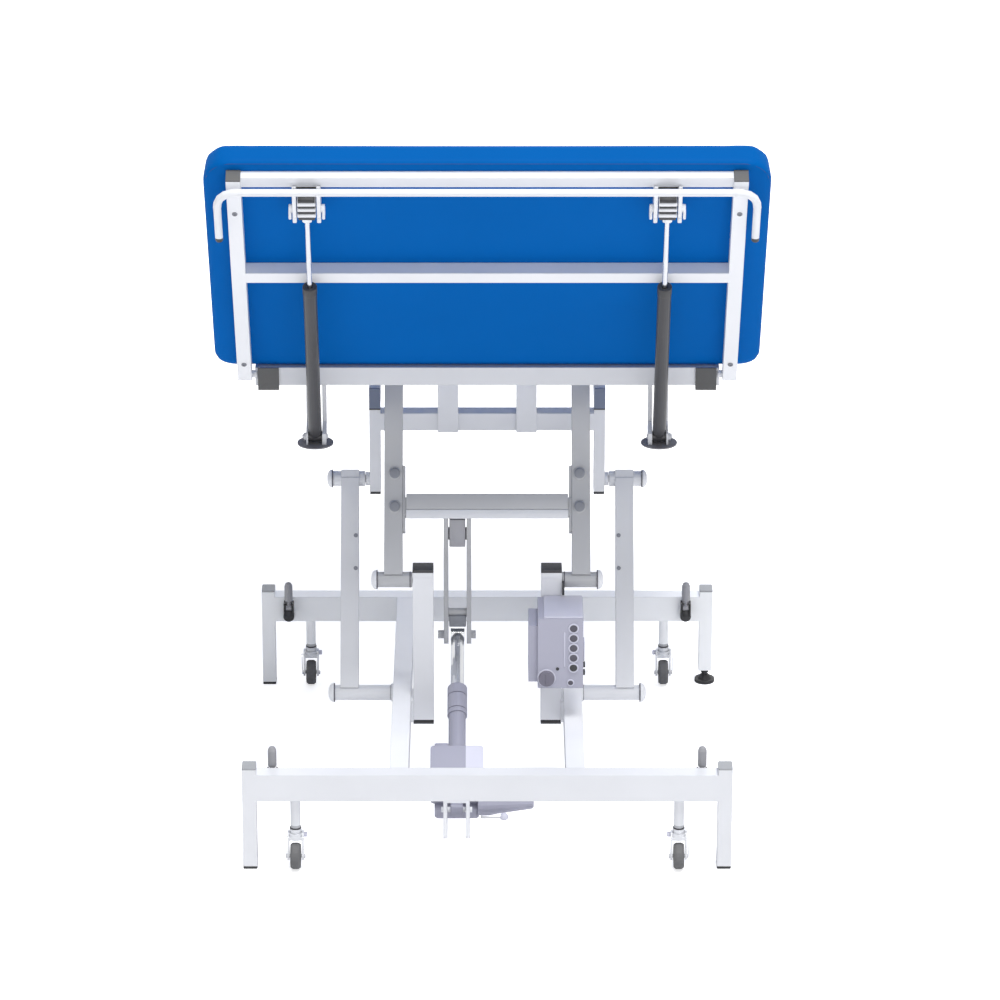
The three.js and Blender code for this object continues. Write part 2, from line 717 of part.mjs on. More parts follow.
// Actuator, drawn lying along Y from its tail pin
const boltTurn = Math.atan2(BOLT_Z - TAIL_Z, BOLT_Y - TAIL_Y);
const boltReach = Math.hypot(BOLT_Z - TAIL_Z, BOLT_Y - TAIL_Y);
const actuator = new THREE.Group();
actuator.position.set(ACTUATOR_X, TAIL_Y, TAIL_Z);
actuator.rotation.x = boltTurn;
table.add(actuator);
const motor = turnedProfile(
  [
    [0, HOUSING_HALF - 12],
    [MOTOR_R, HOUSING_HALF - 12],
    [MOTOR_R, HOUSING_HALF + 8],
    [MOTOR_END_R, MOTOR_END - 4],
    [MOTOR_END_R - 4, MOTOR_END],
    [0, MOTOR_END],
  ],
  20,
);
const drive = join([
  barX([-13, 13], 0, 0, 15, 20),
  block([-11, 11], [0, HOUSING_AT[0] + 3], [-13, 13]),
  roundedBlockZ([-HOUSING_HALF, HOUSING_HALF], HOUSING_AT, HOUSING_Z, 8),
  roundedBlockZ([-SUMP_HALF, SUMP_HALF], SUMP_AT, [-SUMP_DROP, HOUSING_Z[0] + 2], 8),
  solid(motor.rotateZ(-Math.PI / 2).translate(0, MOTOR_AT, -MOTOR_DROP)),
  barY(0, [HOUSING_AT[1] - 2, NECK_END], 0, NECK_R, 20),
  barY(0, [NECK_END - 1, TUBE_END], 0, TUBE_R, 20),
  barY(0, [RING_FROM, RING_GROOVES[0] - RING_GROOVE / 2], 0, RING_R, 20),
  barY(0, [RING_GROOVES[0] + RING_GROOVE / 2, RING_GROOVES[1] - RING_GROOVE / 2], 0, RING_R, 20),
  barY(0, [RING_GROOVES[1] + RING_GROOVE / 2, TUBE_END - 2], 0, RING_R, 20),
]);
const driveCut = cut(drive, [
  barX([-14, 14], 0, 0, 6.5, 16),
  barY(0, [TUBE_BORE_FROM, TUBE_END + 1], 0, ROD_R + 0.5, 16),
]);
actuator.add(mesh("actuator_body", driveCut, LAVENDER()));
const rodEnd = cut(
  join([
    barY(0, [ROD_START, boltReach - 8], 0, ROD_R, 16),
    barX([-ROD_EYE / 2, ROD_EYE / 2], boltReach, 0, ROD_EYE_R, 18),
  ]),
  [barX([-ROD_EYE / 2 - 1, ROD_EYE / 2 + 1], boltReach, 0, 6, 16)],
);
actuator.add(mesh("actuator_rod", rodEnd, CHROME()));

// Main frame under the pads
const CROSS_MEMBERS = [770, 1190];
const INNER_MEMBER = [130, 170];
const footTube = [SEAT_END - FRAME_WIDE - 20, SEAT_END - 20];
const frameZ = [FRAME_BOTTOM, FRAME_TOP];
const framePieces = [
  block(
    [-FRAME_INNER, FRAME_INNER],
    [FRAME_HEAD + END_CAP, FRAME_HEAD + FRAME_WIDE],
    [FRAME_TOP - HEAD_TUBE_TALL, FRAME_TOP],
  ),
  block([-FRAME_INNER, FRAME_INNER], footTube, frameZ),
  ...CROSS_MEMBERS.map((y) => block([-FRAME_INNER, FRAME_INNER], [y, y + FRAME_TALL], frameZ)),
];
for (const [, side] of SIDES) {
  framePieces.push(
    block([side * FRAME_INNER, side * FRAME_OUTER], [FRAME_HEAD + END_CAP, footTube[1]], frameZ),
    block(
      [side * INNER_MEMBER[0], side * INNER_MEMBER[1]],
      [FRAME_HEAD + FRAME_WIDE, CROSS_MEMBERS[0]],
      frameZ,
    ),
    block(
      [side * (INNER_MEMBER[1] - 4), side * (INNER_MEMBER[1] + 6)],
      [UPPER_INNER_Y - 26, UPPER_INNER_Y + 26],
      [UPPER_INNER_Z - 24, FRAME_TOP - 2],
    ),
    barX(
      [side * (INNER_MEMBER[1] + 2), side * (INNER_ARM_X + ARM_SIZE + 11)],
      UPPER_INNER_Y,
      UPPER_INNER_Z,
      PIN_R,
    ),
    barX(
      [side * (INNER_ARM_X + ARM_SIZE + 10), side * (INNER_ARM_X + ARM_SIZE + 16)],
      UPPER_INNER_Y,
      UPPER_INNER_Z,
      16,
    ),
  );

  // Spring bracket: two plates under the head tube with a pin between them
  const discTop = SPRING_Z - SPRING_DISC_DROP;
  for (const [wall, thick] of [
    [1, SPRING_TAB_THICK[0]],
    [-1, SPRING_TAB_THICK[1]],
  ]) {
    framePieces.push(
      plateX(
        [side * (SPRING_X + wall * SPRING_TAB_OUT), side * (SPRING_X + wall * (SPRING_TAB_OUT + thick))],
        [
          [SPRING_Y - 18, discTop],
          [SPRING_Y + 38, discTop],
          [SPRING_Y + 38, FRAME_TOP - HEAD_TUBE_TALL + 2],
          [SPRING_Y + 14, FRAME_TOP - HEAD_TUBE_TALL + 2],
          [SPRING_Y + 14, SPRING_Z + 30],
          [SPRING_Y - 18, SPRING_Z + 12],
        ],
      ),
    );
  }
  framePieces.push(
    barX([side * (SPRING_X - 27), side * (SPRING_X + 28)], SPRING_Y, SPRING_Z, 5, 12),
    barX([side * (SPRING_X + 18), side * (SPRING_X + 25)], SPRING_Y, SPRING_Z, 9, 6),
    block(
      [side * (FRAME_OUTER - 1), side * (FRAME_OUTER + 6)],
      [FRAME_HEAD + END_CAP + 1, HINGE_Y + 40],
      [HINGE_Z - 26, FRAME_TOP - 1],
    ),
    barX([side * (FRAME_OUTER + 2), side * (BACK_RAIL_OUTER - 0.5)], HINGE_Y, HINGE_Z, PIN_R),
  );
}
const upper = new THREE.Group();
table.add(upper);
upper.add(mesh("main_frame", join(framePieces), WHITE()));

// Hanger frame that takes the outer arms, under the main frame
const hangerHead = HANGER_HEAD + END_CAP;
const hangerTubeTop = HANGER_BOTTOM - HANGER_TUBE_DROP;
const hangerTubeZ = [hangerTubeTop - HANGER_TUBE, hangerTubeTop];
const hangerPieces = [
  block([-HANGER_X - 1, HANGER_X + 1], [hangerHead, hangerHead + HANGER_TUBE], hangerTubeZ),
  block(
    [-HANGER_X - 1, HANGER_X + 1],
    [HANGER_END - HANGER_TUBE, HANGER_END],
    [HANGER_BOTTOM + 5, HANGER_TOP - 5],
  ),
];
for (const [, side] of SIDES) {
  const x = [side * HANGER_X, side * HANGER_OUTER];
  hangerPieces.push(
    block(x, [hangerHead, HANGER_END], [HANGER_BOTTOM, HANGER_TOP]),
    block(x, [hangerHead, hangerHead + HANGING_POST_DEEP], [HANGING_POST_BOTTOM, HANGER_BOTTOM + 1]),
    ...CROSS_MEMBERS.map((y) => block(x, [y + 2, y + FRAME_TALL - 2], [HANGER_TOP - 1, FRAME_BOTTOM])),
    block(
      [side * UPRIGHT_INNER, side * (UPRIGHT_INNER + UPRIGHT_WIDE)],
      [hangerHead - 12, hangerHead - 12 + UPRIGHT_DEEP],
      [hangerTubeZ[0], FRAME_BOTTOM],
    ),
    barX([side * (HANGER_OUTER - 2), side * (HANGER_OUTER + 9)], UPPER_OUTER_Y, UPPER_OUTER_Z, 15),
    barX(
      [side * (HANGER_OUTER - 2), side * (OUTER_ARM_X + ARM_SIZE + 20)],
      UPPER_OUTER_Y,
      UPPER_OUTER_Z,
      PIN_R,
    ),
    domeX(side, OUTER_ARM_X + ARM_SIZE + 19, UPPER_OUTER_Y, UPPER_OUTER_Z, 20, 13),
  );
}
upper.add(mesh("lift_hanger_frame", join(hangerPieces), WHITE()));

// End caps of the upper frames and the discs under the spring brackets
for (const [word, side] of SIDES) {
  const mainCap = block([side * FRAME_INNER, side * FRAME_OUTER], [FRAME_HEAD, FRAME_HEAD + END_CAP], frameZ);
  upper.add(mesh(`main_frame_cap_${word}`, mainCap, CAP_GREY()));
  const hangerCap = block(
    [side * HANGER_X, side * HANGER_OUTER],
    [HANGER_HEAD, HANGER_HEAD + END_CAP],
    [HANGER_BOTTOM, HANGER_TOP],
  );
  upper.add(mesh(`hanger_cap_${word}`, hangerCap, CAP_GREY()));
  const discTop = SPRING_Z - SPRING_DISC_DROP;
  const disc = barZ(side * SPRING_X, SPRING_Y, [discTop - SPRING_DISC_THICK, discTop], SPRING_DISC_R, 32);
  upper.add(mesh(`spring_disc_${word}`, disc, CAP_GREY()));
}

// Cushion: a box whose corners are rounded, whose sides swell and whose top is crowned
function cushion(length, lowCorner, highCorner) {
  const shape = new THREE.BoxGeometry(2, 2, 2, 16, 10, 4);
  const place = shape.attributes.position;
  const halfLength = length / 2;
  for (let i = 0; i < place.count; i++) {
    const [u, v, w] = [place.getX(i), place.getY(i), place.getZ(i)];
    const inset = PAD_EDGE * (1 - Math.sqrt(Math.max(0, 1 - w ** 4)));
    const spread = (s, size, corner, share) => {
      const core = size - corner;
      if (Math.abs(s) <= share) {
        return (s / share) * core;
      }
      return Math.sign(s) * (core + ((Math.abs(s) - share) / (1 - share)) * corner);
    };
    const corner = v < 0 ? lowCorner : highCorner;
    let x = spread(u, PAD_HALF, corner, 6 / 8);
    let y = spread(v, halfLength, corner, 3 / 5);
    const [dx, dy] = [Math.abs(x) - (PAD_HALF - corner), Math.abs(y) - (halfLength - corner)];
    if (dx > 0 && dy > 0) {
      const far = Math.max(dx, dy);
      const scale = far / Math.hypot(dx, dy);
      x = Math.sign(x) * (PAD_HALF - corner + dx * scale);
      y = Math.sign(y) * (halfLength - corner + dy * scale);
    }
    x *= 1 - inset / PAD_HALF;
    y *= 1 - inset / halfLength;
    const rise = (1 - (x / PAD_HALF) ** 4) * (1 - (y / halfLength) ** 4);
    const z = (w * (PAD_THICK - PAD_CROWN)) / 2 + (w > 0 ? w * rise * PAD_CROWN : 0);
    place.setXYZ(i, x, y, z + (PAD_THICK - PAD_CROWN) / 2);
  }
  return solid(shape);
}
const seat = mesh("seat_pad", cushion(SEAT_PAD_LENGTH, HINGE_CORNER, HEAD_CORNER), BLUE());
seat.position.set(0, SEAT_HEAD + SEAT_PAD_LENGTH / 2, FRAME_TOP + PAD_GAP);
upper.add(seat);

// Backrest, drawn lying flat towards the head and then raised about its hinge
const backrest = new THREE.Group();
backrest.position.set(0, HINGE_Y, HINGE_Z);
backrest.rotation.x = -BACK_ANGLE * RADIAN;
table.add(backrest);
const backY = (at) => -at;
const backHalf = BACK_TUBE / 2;
const backRailInner = BACK_RAIL_OUTER - BACK_TUBE;
const tubeN = [-backHalf, backHalf];
const topTubeFront = backHalf - TOP_TUBE_DEEP;
const backPieces = [
  block(
    [-backRailInner, backRailInner],
    [backY(BACK_RAIL_LENGTH), backY(BACK_RAIL_LENGTH - TOP_TUBE_TALL)],
    [topTubeFront, backHalf],
  ),
  block(
    [-backRailInner, backRailInner],
    [backY(MIDDLE_TUBE_AT), backY(MIDDLE_TUBE_AT + BACK_TUBE)],
    tubeN,
  ),
];
const backHoles = [];
for (const [, side] of SIDES) {
  const railX = [side * backRailInner, side * BACK_RAIL_OUTER];
  backPieces.push(block(railX, [backY(0), backY(BACK_RAIL_LENGTH)], tubeN));
  backPieces.push(barX(railX, 0, 0, backHalf - 0.5, 18));
  backHoles.push(barX([railX[0] - side * 2, railX[1] + side * 2], 0, 0, BORE_R));

  // Clevis plates for the spring, with bolt heads outside and a saddle above for the release bar
  for (const wall of [-1, 1]) {
    const x = [side * SPRING_X + wall * 21, side * SPRING_X + wall * 29];
    backPieces.push(
      plateX(x, [
        [backY(SPRING_TOP_AT - 16), SPRING_TOP_OFFSET - 14],
        [backY(SPRING_TOP_AT - 16), backHalf - 3],
        [backY(BACK_RAIL_LENGTH - 4), backHalf - 3],
        [backY(BACK_RAIL_LENGTH - 4), topTubeFront + 1],
        [backY(RELEASE_AT - 10), topTubeFront + 1],
        [backY(RELEASE_AT + 8), RELEASE_OFFSET + 9],
        [backY(RELEASE_AT - 8), RELEASE_OFFSET],
        [backY(SPRING_TOP_AT + 22), SPRING_TOP_OFFSET - 14],
      ]),
      barX([x[1] - wall, x[1] + wall * 8], backY(SPRING_TOP_AT), SPRING_TOP_OFFSET, 9, 16),
    );
    backHoles.push(
      barX([x[0] - wall, x[1] + wall], backY(RELEASE_AT), RELEASE_OFFSET, RELEASE_R + RELEASE_PLAY, 16),
    );
  }
}
backrest.add(mesh("backrest_frame", cut(join(backPieces), backHoles), WHITE()));
for (const [word, side] of SIDES) {
  const cap = block(
    [side * backRailInner, side * BACK_RAIL_OUTER],
    [backY(BACK_RAIL_LENGTH + 0.3), backY(BACK_RAIL_LENGTH + 3.3)],
    tubeN,
  );
  backrest.add(mesh(`backrest_cap_${word}`, cap, CAP_GREY()));
}
const backPad = mesh("backrest_pad", cushion(BACK_PAD_LENGTH, HEAD_CORNER, HINGE_CORNER), BLUE());
backPad.position.set(0, backY(BACK_PAD_START + BACK_PAD_LENGTH / 2), backHalf + PAD_GAP);
backrest.add(backPad);

// Release bar: a straight rod whose two ends turn towards the hinge
const straightHalf = RELEASE_END_X - RELEASE_BEND;
const barPieces = [
  barX([-straightHalf - 1, straightHalf + 1], backY(RELEASE_AT), RELEASE_OFFSET, RELEASE_R, 12),
];
const ring = new THREE.Shape();
ring.absarc(0, 0, RELEASE_R + 0.5, 0, 2 * Math.PI, false);
for (const [, side] of SIDES) {
  const corner = new THREE.QuadraticBezierCurve3(
    new THREE.Vector3(side * straightHalf, backY(RELEASE_AT), RELEASE_OFFSET),
    new THREE.Vector3(side * RELEASE_END_X, backY(RELEASE_AT), RELEASE_OFFSET),
    new THREE.Vector3(side * RELEASE_END_X, backY(RELEASE_AT - RELEASE_BEND), RELEASE_OFFSET),
  );
  barPieces.push(
    solid(
      new THREE.ExtrudeGeometry(ring, {
        extrudePath: corner,
        steps: 5,
        curveSegments: 6,
        bevelEnabled: false,
      }),
    ),
    barY(
      side * RELEASE_END_X,
      [backY(RELEASE_AT - RELEASE_BEND + 1), backY(RELEASE_END_AT)],
      RELEASE_OFFSET,
      RELEASE_R,
      16,
    ),
  );
}
backrest.add(mesh("release_bar", join(barPieces), WHITE()));

// Gas springs, drawn standing along Z from their lower pins
const raised = BACK_ANGLE * RADIAN;
const springTopY = HINGE_Y - SPRING_TOP_AT * Math.cos(raised) + SPRING_TOP_OFFSET * Math.sin(raised);
const springTopZ = HINGE_Z + SPRING_TOP_AT * Math.sin(raised) + SPRING_TOP_OFFSET * Math.cos(raised);
const springLength = Math.hypot(springTopY - SPRING_Y, springTopZ - SPRING_Z);
const springTurn = Math.atan2(springTopZ - SPRING_Z, springTopY - SPRING_Y) - Math.PI / 2;
for (const [word, side] of SIDES) {
  const spring = new THREE.Group();
  spring.position.set(side * SPRING_X, SPRING_Y, SPRING_Z);
  spring.rotation.x = springTurn;
  table.add(spring);
  const cylinder = cut(
    join([
      barX([-SPRING_R, SPRING_R], 0, 0, SPRING_EYE, 18),
      barZ(0, 0, [5, SPRING_CYLINDER_START + 2], SPRING_EYE, 16),
      barZ(0, 0, [SPRING_CYLINDER_START, SPRING_CYLINDER], SPRING_R, 20),
      barZ(0, 0, [SPRING_CYLINDER - 1, SPRING_CYLINDER + 8], SPRING_R - 3, 16),
    ]),
    [
      barX([-SPRING_R - 2, SPRING_R + 2], 0, 0, 5.6, 16),
      barZ(0, 0, [SPRING_CYLINDER - 200, SPRING_CYLINDER + 9], SPRING_ROD_R + 0.5, 16),
    ],
  );
  spring.add(mesh(`gas_spring_cylinder_${word}`, cylinder, SPRING_GREY()));
  const rod = join([
    barZ(0, 0, [SPRING_CYLINDER - 45, springLength - SPRING_HEAD + 1], SPRING_ROD_R, 16),
    barZ(0, 0, [springLength - SPRING_HEAD, springLength - 12], SPRING_HEAD_R, 20),
    block(
      [-SPRING_BLOCK / 2, SPRING_BLOCK / 2],
      [-SPRING_BLOCK_DEEP / 2, SPRING_BLOCK_DEEP / 2],
      [springLength - 14, springLength + SPRING_BLOCK_OVER],
    ),
  ]);
  spring.add(mesh(`gas_spring_rod_${word}`, rod, CHROME()));
}

table.position.set(0, -CENTRE_Y, 0);

export default table;
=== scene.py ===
import math

import bpy
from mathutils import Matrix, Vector


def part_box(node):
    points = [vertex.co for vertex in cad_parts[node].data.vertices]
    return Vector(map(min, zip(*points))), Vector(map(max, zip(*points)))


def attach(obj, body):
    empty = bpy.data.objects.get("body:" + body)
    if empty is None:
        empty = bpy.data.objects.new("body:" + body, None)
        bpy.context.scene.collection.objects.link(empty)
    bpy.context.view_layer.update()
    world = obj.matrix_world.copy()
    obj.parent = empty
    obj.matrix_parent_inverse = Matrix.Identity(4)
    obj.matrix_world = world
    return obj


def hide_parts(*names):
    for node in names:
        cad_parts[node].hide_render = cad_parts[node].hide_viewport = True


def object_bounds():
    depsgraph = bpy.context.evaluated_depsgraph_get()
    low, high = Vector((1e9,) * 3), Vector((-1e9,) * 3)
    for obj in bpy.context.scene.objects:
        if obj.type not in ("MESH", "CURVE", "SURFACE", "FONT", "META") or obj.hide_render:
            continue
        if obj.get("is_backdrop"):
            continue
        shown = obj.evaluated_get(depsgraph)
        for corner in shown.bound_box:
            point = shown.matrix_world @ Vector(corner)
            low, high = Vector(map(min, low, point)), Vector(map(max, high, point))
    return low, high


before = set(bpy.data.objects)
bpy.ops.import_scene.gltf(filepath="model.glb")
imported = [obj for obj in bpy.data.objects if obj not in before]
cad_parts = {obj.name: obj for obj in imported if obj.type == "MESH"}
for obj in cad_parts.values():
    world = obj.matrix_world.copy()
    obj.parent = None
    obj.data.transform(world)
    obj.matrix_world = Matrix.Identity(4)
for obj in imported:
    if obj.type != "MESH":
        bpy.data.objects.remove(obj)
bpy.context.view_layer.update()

# The studio: a white seamless floor, a weak softbox in front of the head end, a strong one behind the
# foot end, a broad light overhead and a pale surround. The tops of the tubes come out bright and the
# faces towards the camera grey.
view = bpy.data.cameras.new("view")
view.sensor_width = 36.0
view.lens = 175.37
view.shift_x = 0.0128
view.clip_end = 200.0
camera = bpy.data.objects.new("camera", view)
camera.location = (0.0, -10.2091, 4.5051)
camera.rotation_euler = (math.radians(68.64), 0.0, 0.0)
bpy.context.scene.collection.objects.link(camera)
bpy.context.scene.camera = camera
bpy.context.scene.view_settings.view_transform = "Standard"


def lamp(name, place, aim, width, height, power, colour):
    data = bpy.data.lights.new(name, "AREA")
    data.shape = "RECTANGLE"
    data.size = width
    data.size_y = height
    data.energy = power
    data.color = colour
    light = bpy.data.objects.new(name, data)
    light.location = place
    light.rotation_euler = (Vector(aim) - Vector(place)).to_track_quat("-Z", "Y").to_euler()
    bpy.context.scene.collection.objects.link(light)


lamp(
    "softbox_front", place=(2.2, -8.0, 3.0), aim=(0.0, 0.0, 0.6),
    width=5.0, height=3.0, power=78.0, colour=(0.97, 0.98, 1.0),
)
lamp(
    "softbox_back", place=(0.6, 9.0, 5.2), aim=(0.0, 0.4, 0.3),
    width=7.0, height=2.5, power=190.0, colour=(0.98, 0.98, 1.0),
)
sky = bpy.data.lights.new("softbox_over", "SUN")
sky.energy = 2.5
sky.angle = math.radians(24.0)
overhead = bpy.data.objects.new("softbox_over", sky)
overhead.rotation_euler = (math.radians(12.0), math.radians(8.0), 0.0)
bpy.context.scene.collection.objects.link(overhead)

surround = bpy.data.worlds.new("surround")
surround.use_nodes = True
bpy.context.scene.world = surround
web = surround.node_tree
glow = web.nodes["Background"]
glow.inputs["Color"].default_value = (0.95, 0.965, 1.0, 1.0)
glow.inputs["Strength"].default_value = 0.46
white = web.nodes.new("ShaderNodeBackground")
white.inputs["Color"].default_value = (1.0, 1.0, 1.0, 1.0)
white.inputs["Strength"].default_value = 1.0
path = web.nodes.new("ShaderNodeLightPath")
either = web.nodes.new("ShaderNodeMixShader")
seen_white = path.outputs["Is Camera Ray"]
for ray in ("Is Glossy Ray", "Is Transmission Ray"):
    more = web.nodes.new("ShaderNodeMath")
    more.operation = "MAXIMUM"
    web.links.new(seen_white, more.inputs[0])
    web.links.new(path.outputs[ray], more.inputs[1])
    seen_white = more.outputs["Value"]
web.links.new(seen_white, either.inputs["Fac"])
web.links.new(glow.outputs["Background"], either.inputs[1])
web.links.new(white.outputs["Background"], either.inputs[2])
web.links.new(either.outputs["Shader"], web.nodes["World Output"].inputs["Surface"])

bpy.ops.mesh.primitive_plane_add(size=60.0, location=(0.0, 0.0, 0.0))
floor = bpy.context.object
floor.name = "studio_floor"
sweep = bpy.data.materials.new("studio_white")
sweep.use_nodes = True
FLOOR_GLOW = 0.62
web = sweep.node_tree
matte = web.nodes["Principled BSDF"]
matte.inputs["Base Color"].default_value = (0.95, 0.95, 0.96, 1.0)
matte.inputs["Roughness"].default_value = 0.9
matte.inputs["Specular IOR Level"].default_value = 0.1
matte.inputs["Emission Color"].default_value = (1.0, 1.0, 1.0, 1.0)
seen = web.nodes.new("ShaderNodeLightPath")
lift = web.nodes.new("ShaderNodeMath")
lift.operation = "MULTIPLY"
lift.inputs[1].default_value = FLOOR_GLOW
web.links.new(seen.outputs["Is Camera Ray"], lift.inputs[0])
web.links.new(lift.outputs["Value"], matte.inputs["Emission Strength"])
floor.data.materials.append(sweep)
floor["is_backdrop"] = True

# Base: four legs under two 60 x 40 mm cross beams and two side rails, all steel tube, welded up with the
# standing posts, the castors' guide tubes and the lever ears. It is powder coated white after welding,
# and stands on black rubber feet below grey moulded plugs.
HEAD_FACE = 0.84425


def spot(x, y, z):
    """A place in metres from millimetres, with y measured from the front face of the head beam."""
    return Vector((x / 1000, y / 1000 - HEAD_FACE, z / 1000))


def finish(name, colour, deep, rough, grain, relief, metal=0.0, blotch=7.0, edge=1.2, worn=None):
    """A material whose colour drifts in blotches, with its grain as fine relief and its edges softened."""
    made = bpy.data.materials.new(name)
    made.use_nodes = True
    tree = made.node_tree
    shader = tree.nodes["Principled BSDF"]
    shader.inputs["Metallic"].default_value = metal
    place = tree.nodes.new("ShaderNodeTexCoord")
    cloud = tree.nodes.new("ShaderNodeTexNoise")
    cloud.inputs["Scale"].default_value = blotch
    cloud.inputs["Detail"].default_value = 5.0
    tree.links.new(place.outputs["Object"], cloud.inputs["Vector"])
    fine = tree.nodes.new("ShaderNodeTexNoise")
    fine.inputs["Scale"].default_value = grain
    fine.inputs["Detail"].default_value = 3.0
    tree.links.new(place.outputs["Object"], fine.inputs["Vector"])
    drift = tree.nodes.new("ShaderNodeMapRange")
    drift.inputs["From Min"].default_value = 0.3
    drift.inputs["From Max"].default_value = 0.7
    tree.links.new(cloud.outputs["Fac"], drift.inputs["Value"])
    tint = tree.nodes.new("ShaderNodeMix")
    tint.data_type = "RGBA"
    tint.inputs["A"].default_value = (*colour, 1.0)
    tint.inputs["B"].default_value = (*deep, 1.0)
    tree.links.new(drift.outputs["Result"], tint.inputs["Factor"])
    gloss = tree.nodes.new("ShaderNodeMapRange")
    gloss.inputs["From Min"].default_value = 0.3
    gloss.inputs["From Max"].default_value = 0.7
    gloss.inputs["To Min"].default_value = rough * 0.88
    gloss.inputs["To Max"].default_value = min(rough * 1.16, 1.0)
    tree.links.new(fine.outputs["Fac"], gloss.inputs["Value"])
    tree.links.new(gloss.outputs["Result"], shader.inputs["Roughness"])
    round_off = tree.nodes.new("ShaderNodeBevel")
    round_off.samples = 6
    round_off.inputs["Radius"].default_value = edge / 1000
    bump = tree.nodes.new("ShaderNodeBump")
    bump.name = "bump"
    bump.inputs["Strength"].default_value = relief
    bump.inputs["Distance"].default_value = 0.0004
    tree.links.new(fine.outputs["Fac"], bump.inputs["Height"])
    tree.links.new(round_off.outputs["Normal"], bump.inputs["Normal"])
    tree.links.new(bump.outputs["Normal"], shader.inputs["Normal"])
    colour_out = tint.outputs["Result"]
    if worn:
        shape = tree.nodes.new("ShaderNodeNewGeometry")
        turn = tree.nodes.new("ShaderNodeVectorMath")
        turn.operation = "DOT_PRODUCT"
        tree.links.new(round_off.outputs["Normal"], turn.inputs[0])
        tree.links.new(shape.outputs["Normal"], turn.inputs[1])
        rub = tree.nodes.new("ShaderNodeMapRange")
        rub.inputs["From Min"].default_value = 0.995
        rub.inputs["From Max"].default_value = 0.9
        rub.inputs["To Max"].default_value = 0.55
        tree.links.new(turn.outputs["Value"], rub.inputs["Value"])
        scuff = tree.nodes.new("ShaderNodeMix")
        scuff.data_type = "RGBA"
        scuff.inputs["B"].default_value = (*worn, 1.0)
        tree.links.new(rub.outputs["Result"], scuff.inputs["Factor"])
        tree.links.new(colour_out, scuff.inputs["A"])
        colour_out = scuff.outputs["Result"]
    tree.links.new(colour_out, shader.inputs["Base Color"])
    return made


def patch(made, boxes, colour, rough):
    """Repaints the parts of a material that lie in boxes given by spot() corners."""
    tree = made.node_tree
    shader = tree.nodes["Principled BSDF"]
    place = tree.nodes.new("ShaderNodeTexCoord")
    total = None
    for low, high in boxes:
        middle = [(a + b) / 2 for a, b in zip(low, high)]
        reach = [abs(a - b) / 2 for a, b in zip(low, high)]
        away = tree.nodes.new("ShaderNodeVectorMath")
        away.operation = "SUBTRACT"
        away.inputs[1].default_value = middle
        tree.links.new(place.outputs["Object"], away.inputs[0])
        plain = tree.nodes.new("ShaderNodeVectorMath")
        plain.operation = "ABSOLUTE"
        tree.links.new(away.outputs["Vector"], plain.inputs[0])
        past = tree.nodes.new("ShaderNodeVectorMath")
        past.operation = "SUBTRACT"
        past.inputs[1].default_value = reach
        tree.links.new(plain.outputs["Vector"], past.inputs[0])
        parts = tree.nodes.new("ShaderNodeSeparateXYZ")
        tree.links.new(past.outputs["Vector"], parts.inputs["Vector"])
        most = tree.nodes.new("ShaderNodeMath")
        most.operation = "MAXIMUM"
        tree.links.new(parts.outputs["X"], most.inputs[0])
        tree.links.new(parts.outputs["Y"], most.inputs[1])
        most_z = tree.nodes.new("ShaderNodeMath")
        most_z.operation = "MAXIMUM"
        tree.links.new(most.outputs["Value"], most_z.inputs[0])
        tree.links.new(parts.outputs["Z"], most_z.inputs[1])
        inside = tree.nodes.new("ShaderNodeMath")
        inside.operation = "LESS_THAN"
        inside.inputs[1].default_value = 0.0
        tree.links.new(most_z.outputs["Value"], inside.inputs[0])
        if total is None:
            total = inside.outputs["Value"]
        else:
            both = tree.nodes.new("ShaderNodeMath")
            both.operation = "MAXIMUM"
            tree.links.new(total, both.inputs[0])
            tree.links.new(inside.outputs["Value"], both.inputs[1])
            total = both.outputs["Value"]
    before = shader.inputs["Base Color"].links[0].from_socket
    swap = tree.nodes.new("ShaderNodeMix")
    swap.data_type = "RGBA"
    swap.inputs["B"].default_value = (*colour, 1.0)
    tree.links.new(total, swap.inputs["Factor"])
    tree.links.new(before, swap.inputs["A"])
    tree.links.new(swap.outputs["Result"], shader.inputs["Base Color"])
    rough_before = shader.inputs["Roughness"].links[0].from_socket
    smooth = tree.nodes.new("ShaderNodeMix")
    smooth.inputs["B"].default_value = rough
    tree.links.new(total, smooth.inputs["Factor"])
    tree.links.new(rough_before, smooth.inputs["A"])
    tree.links.new(smooth.outputs["Result"], shader.inputs["Roughness"])


def wear(material, *names):
    """Gives CAD nodes a finish."""
    for name in names:
        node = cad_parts[name]
        node.data.materials.clear()
        node.data.materials.append(material)


ENDS = ("head", "foot")
SIDES = (("left", -1), ("right", 1))
CORNERS = [f"{end}_{side}" for end in ENDS for side, _ in SIDES]


def white_paint(name, painted_light=1.0):
    """The table's white powder coat; a level above 1 paints light into it and one below 1 paints shade, so
    the pieces get lit and shaded copies of the one white.
    """
    light = [min(painted_light * part, 0.98) for part in (0.83, 0.84, 0.87)]
    deep = [0.955 * part for part in light]
    return finish(name, light, deep, rough=0.34, grain=520.0, relief=0.10, edge=2.5)


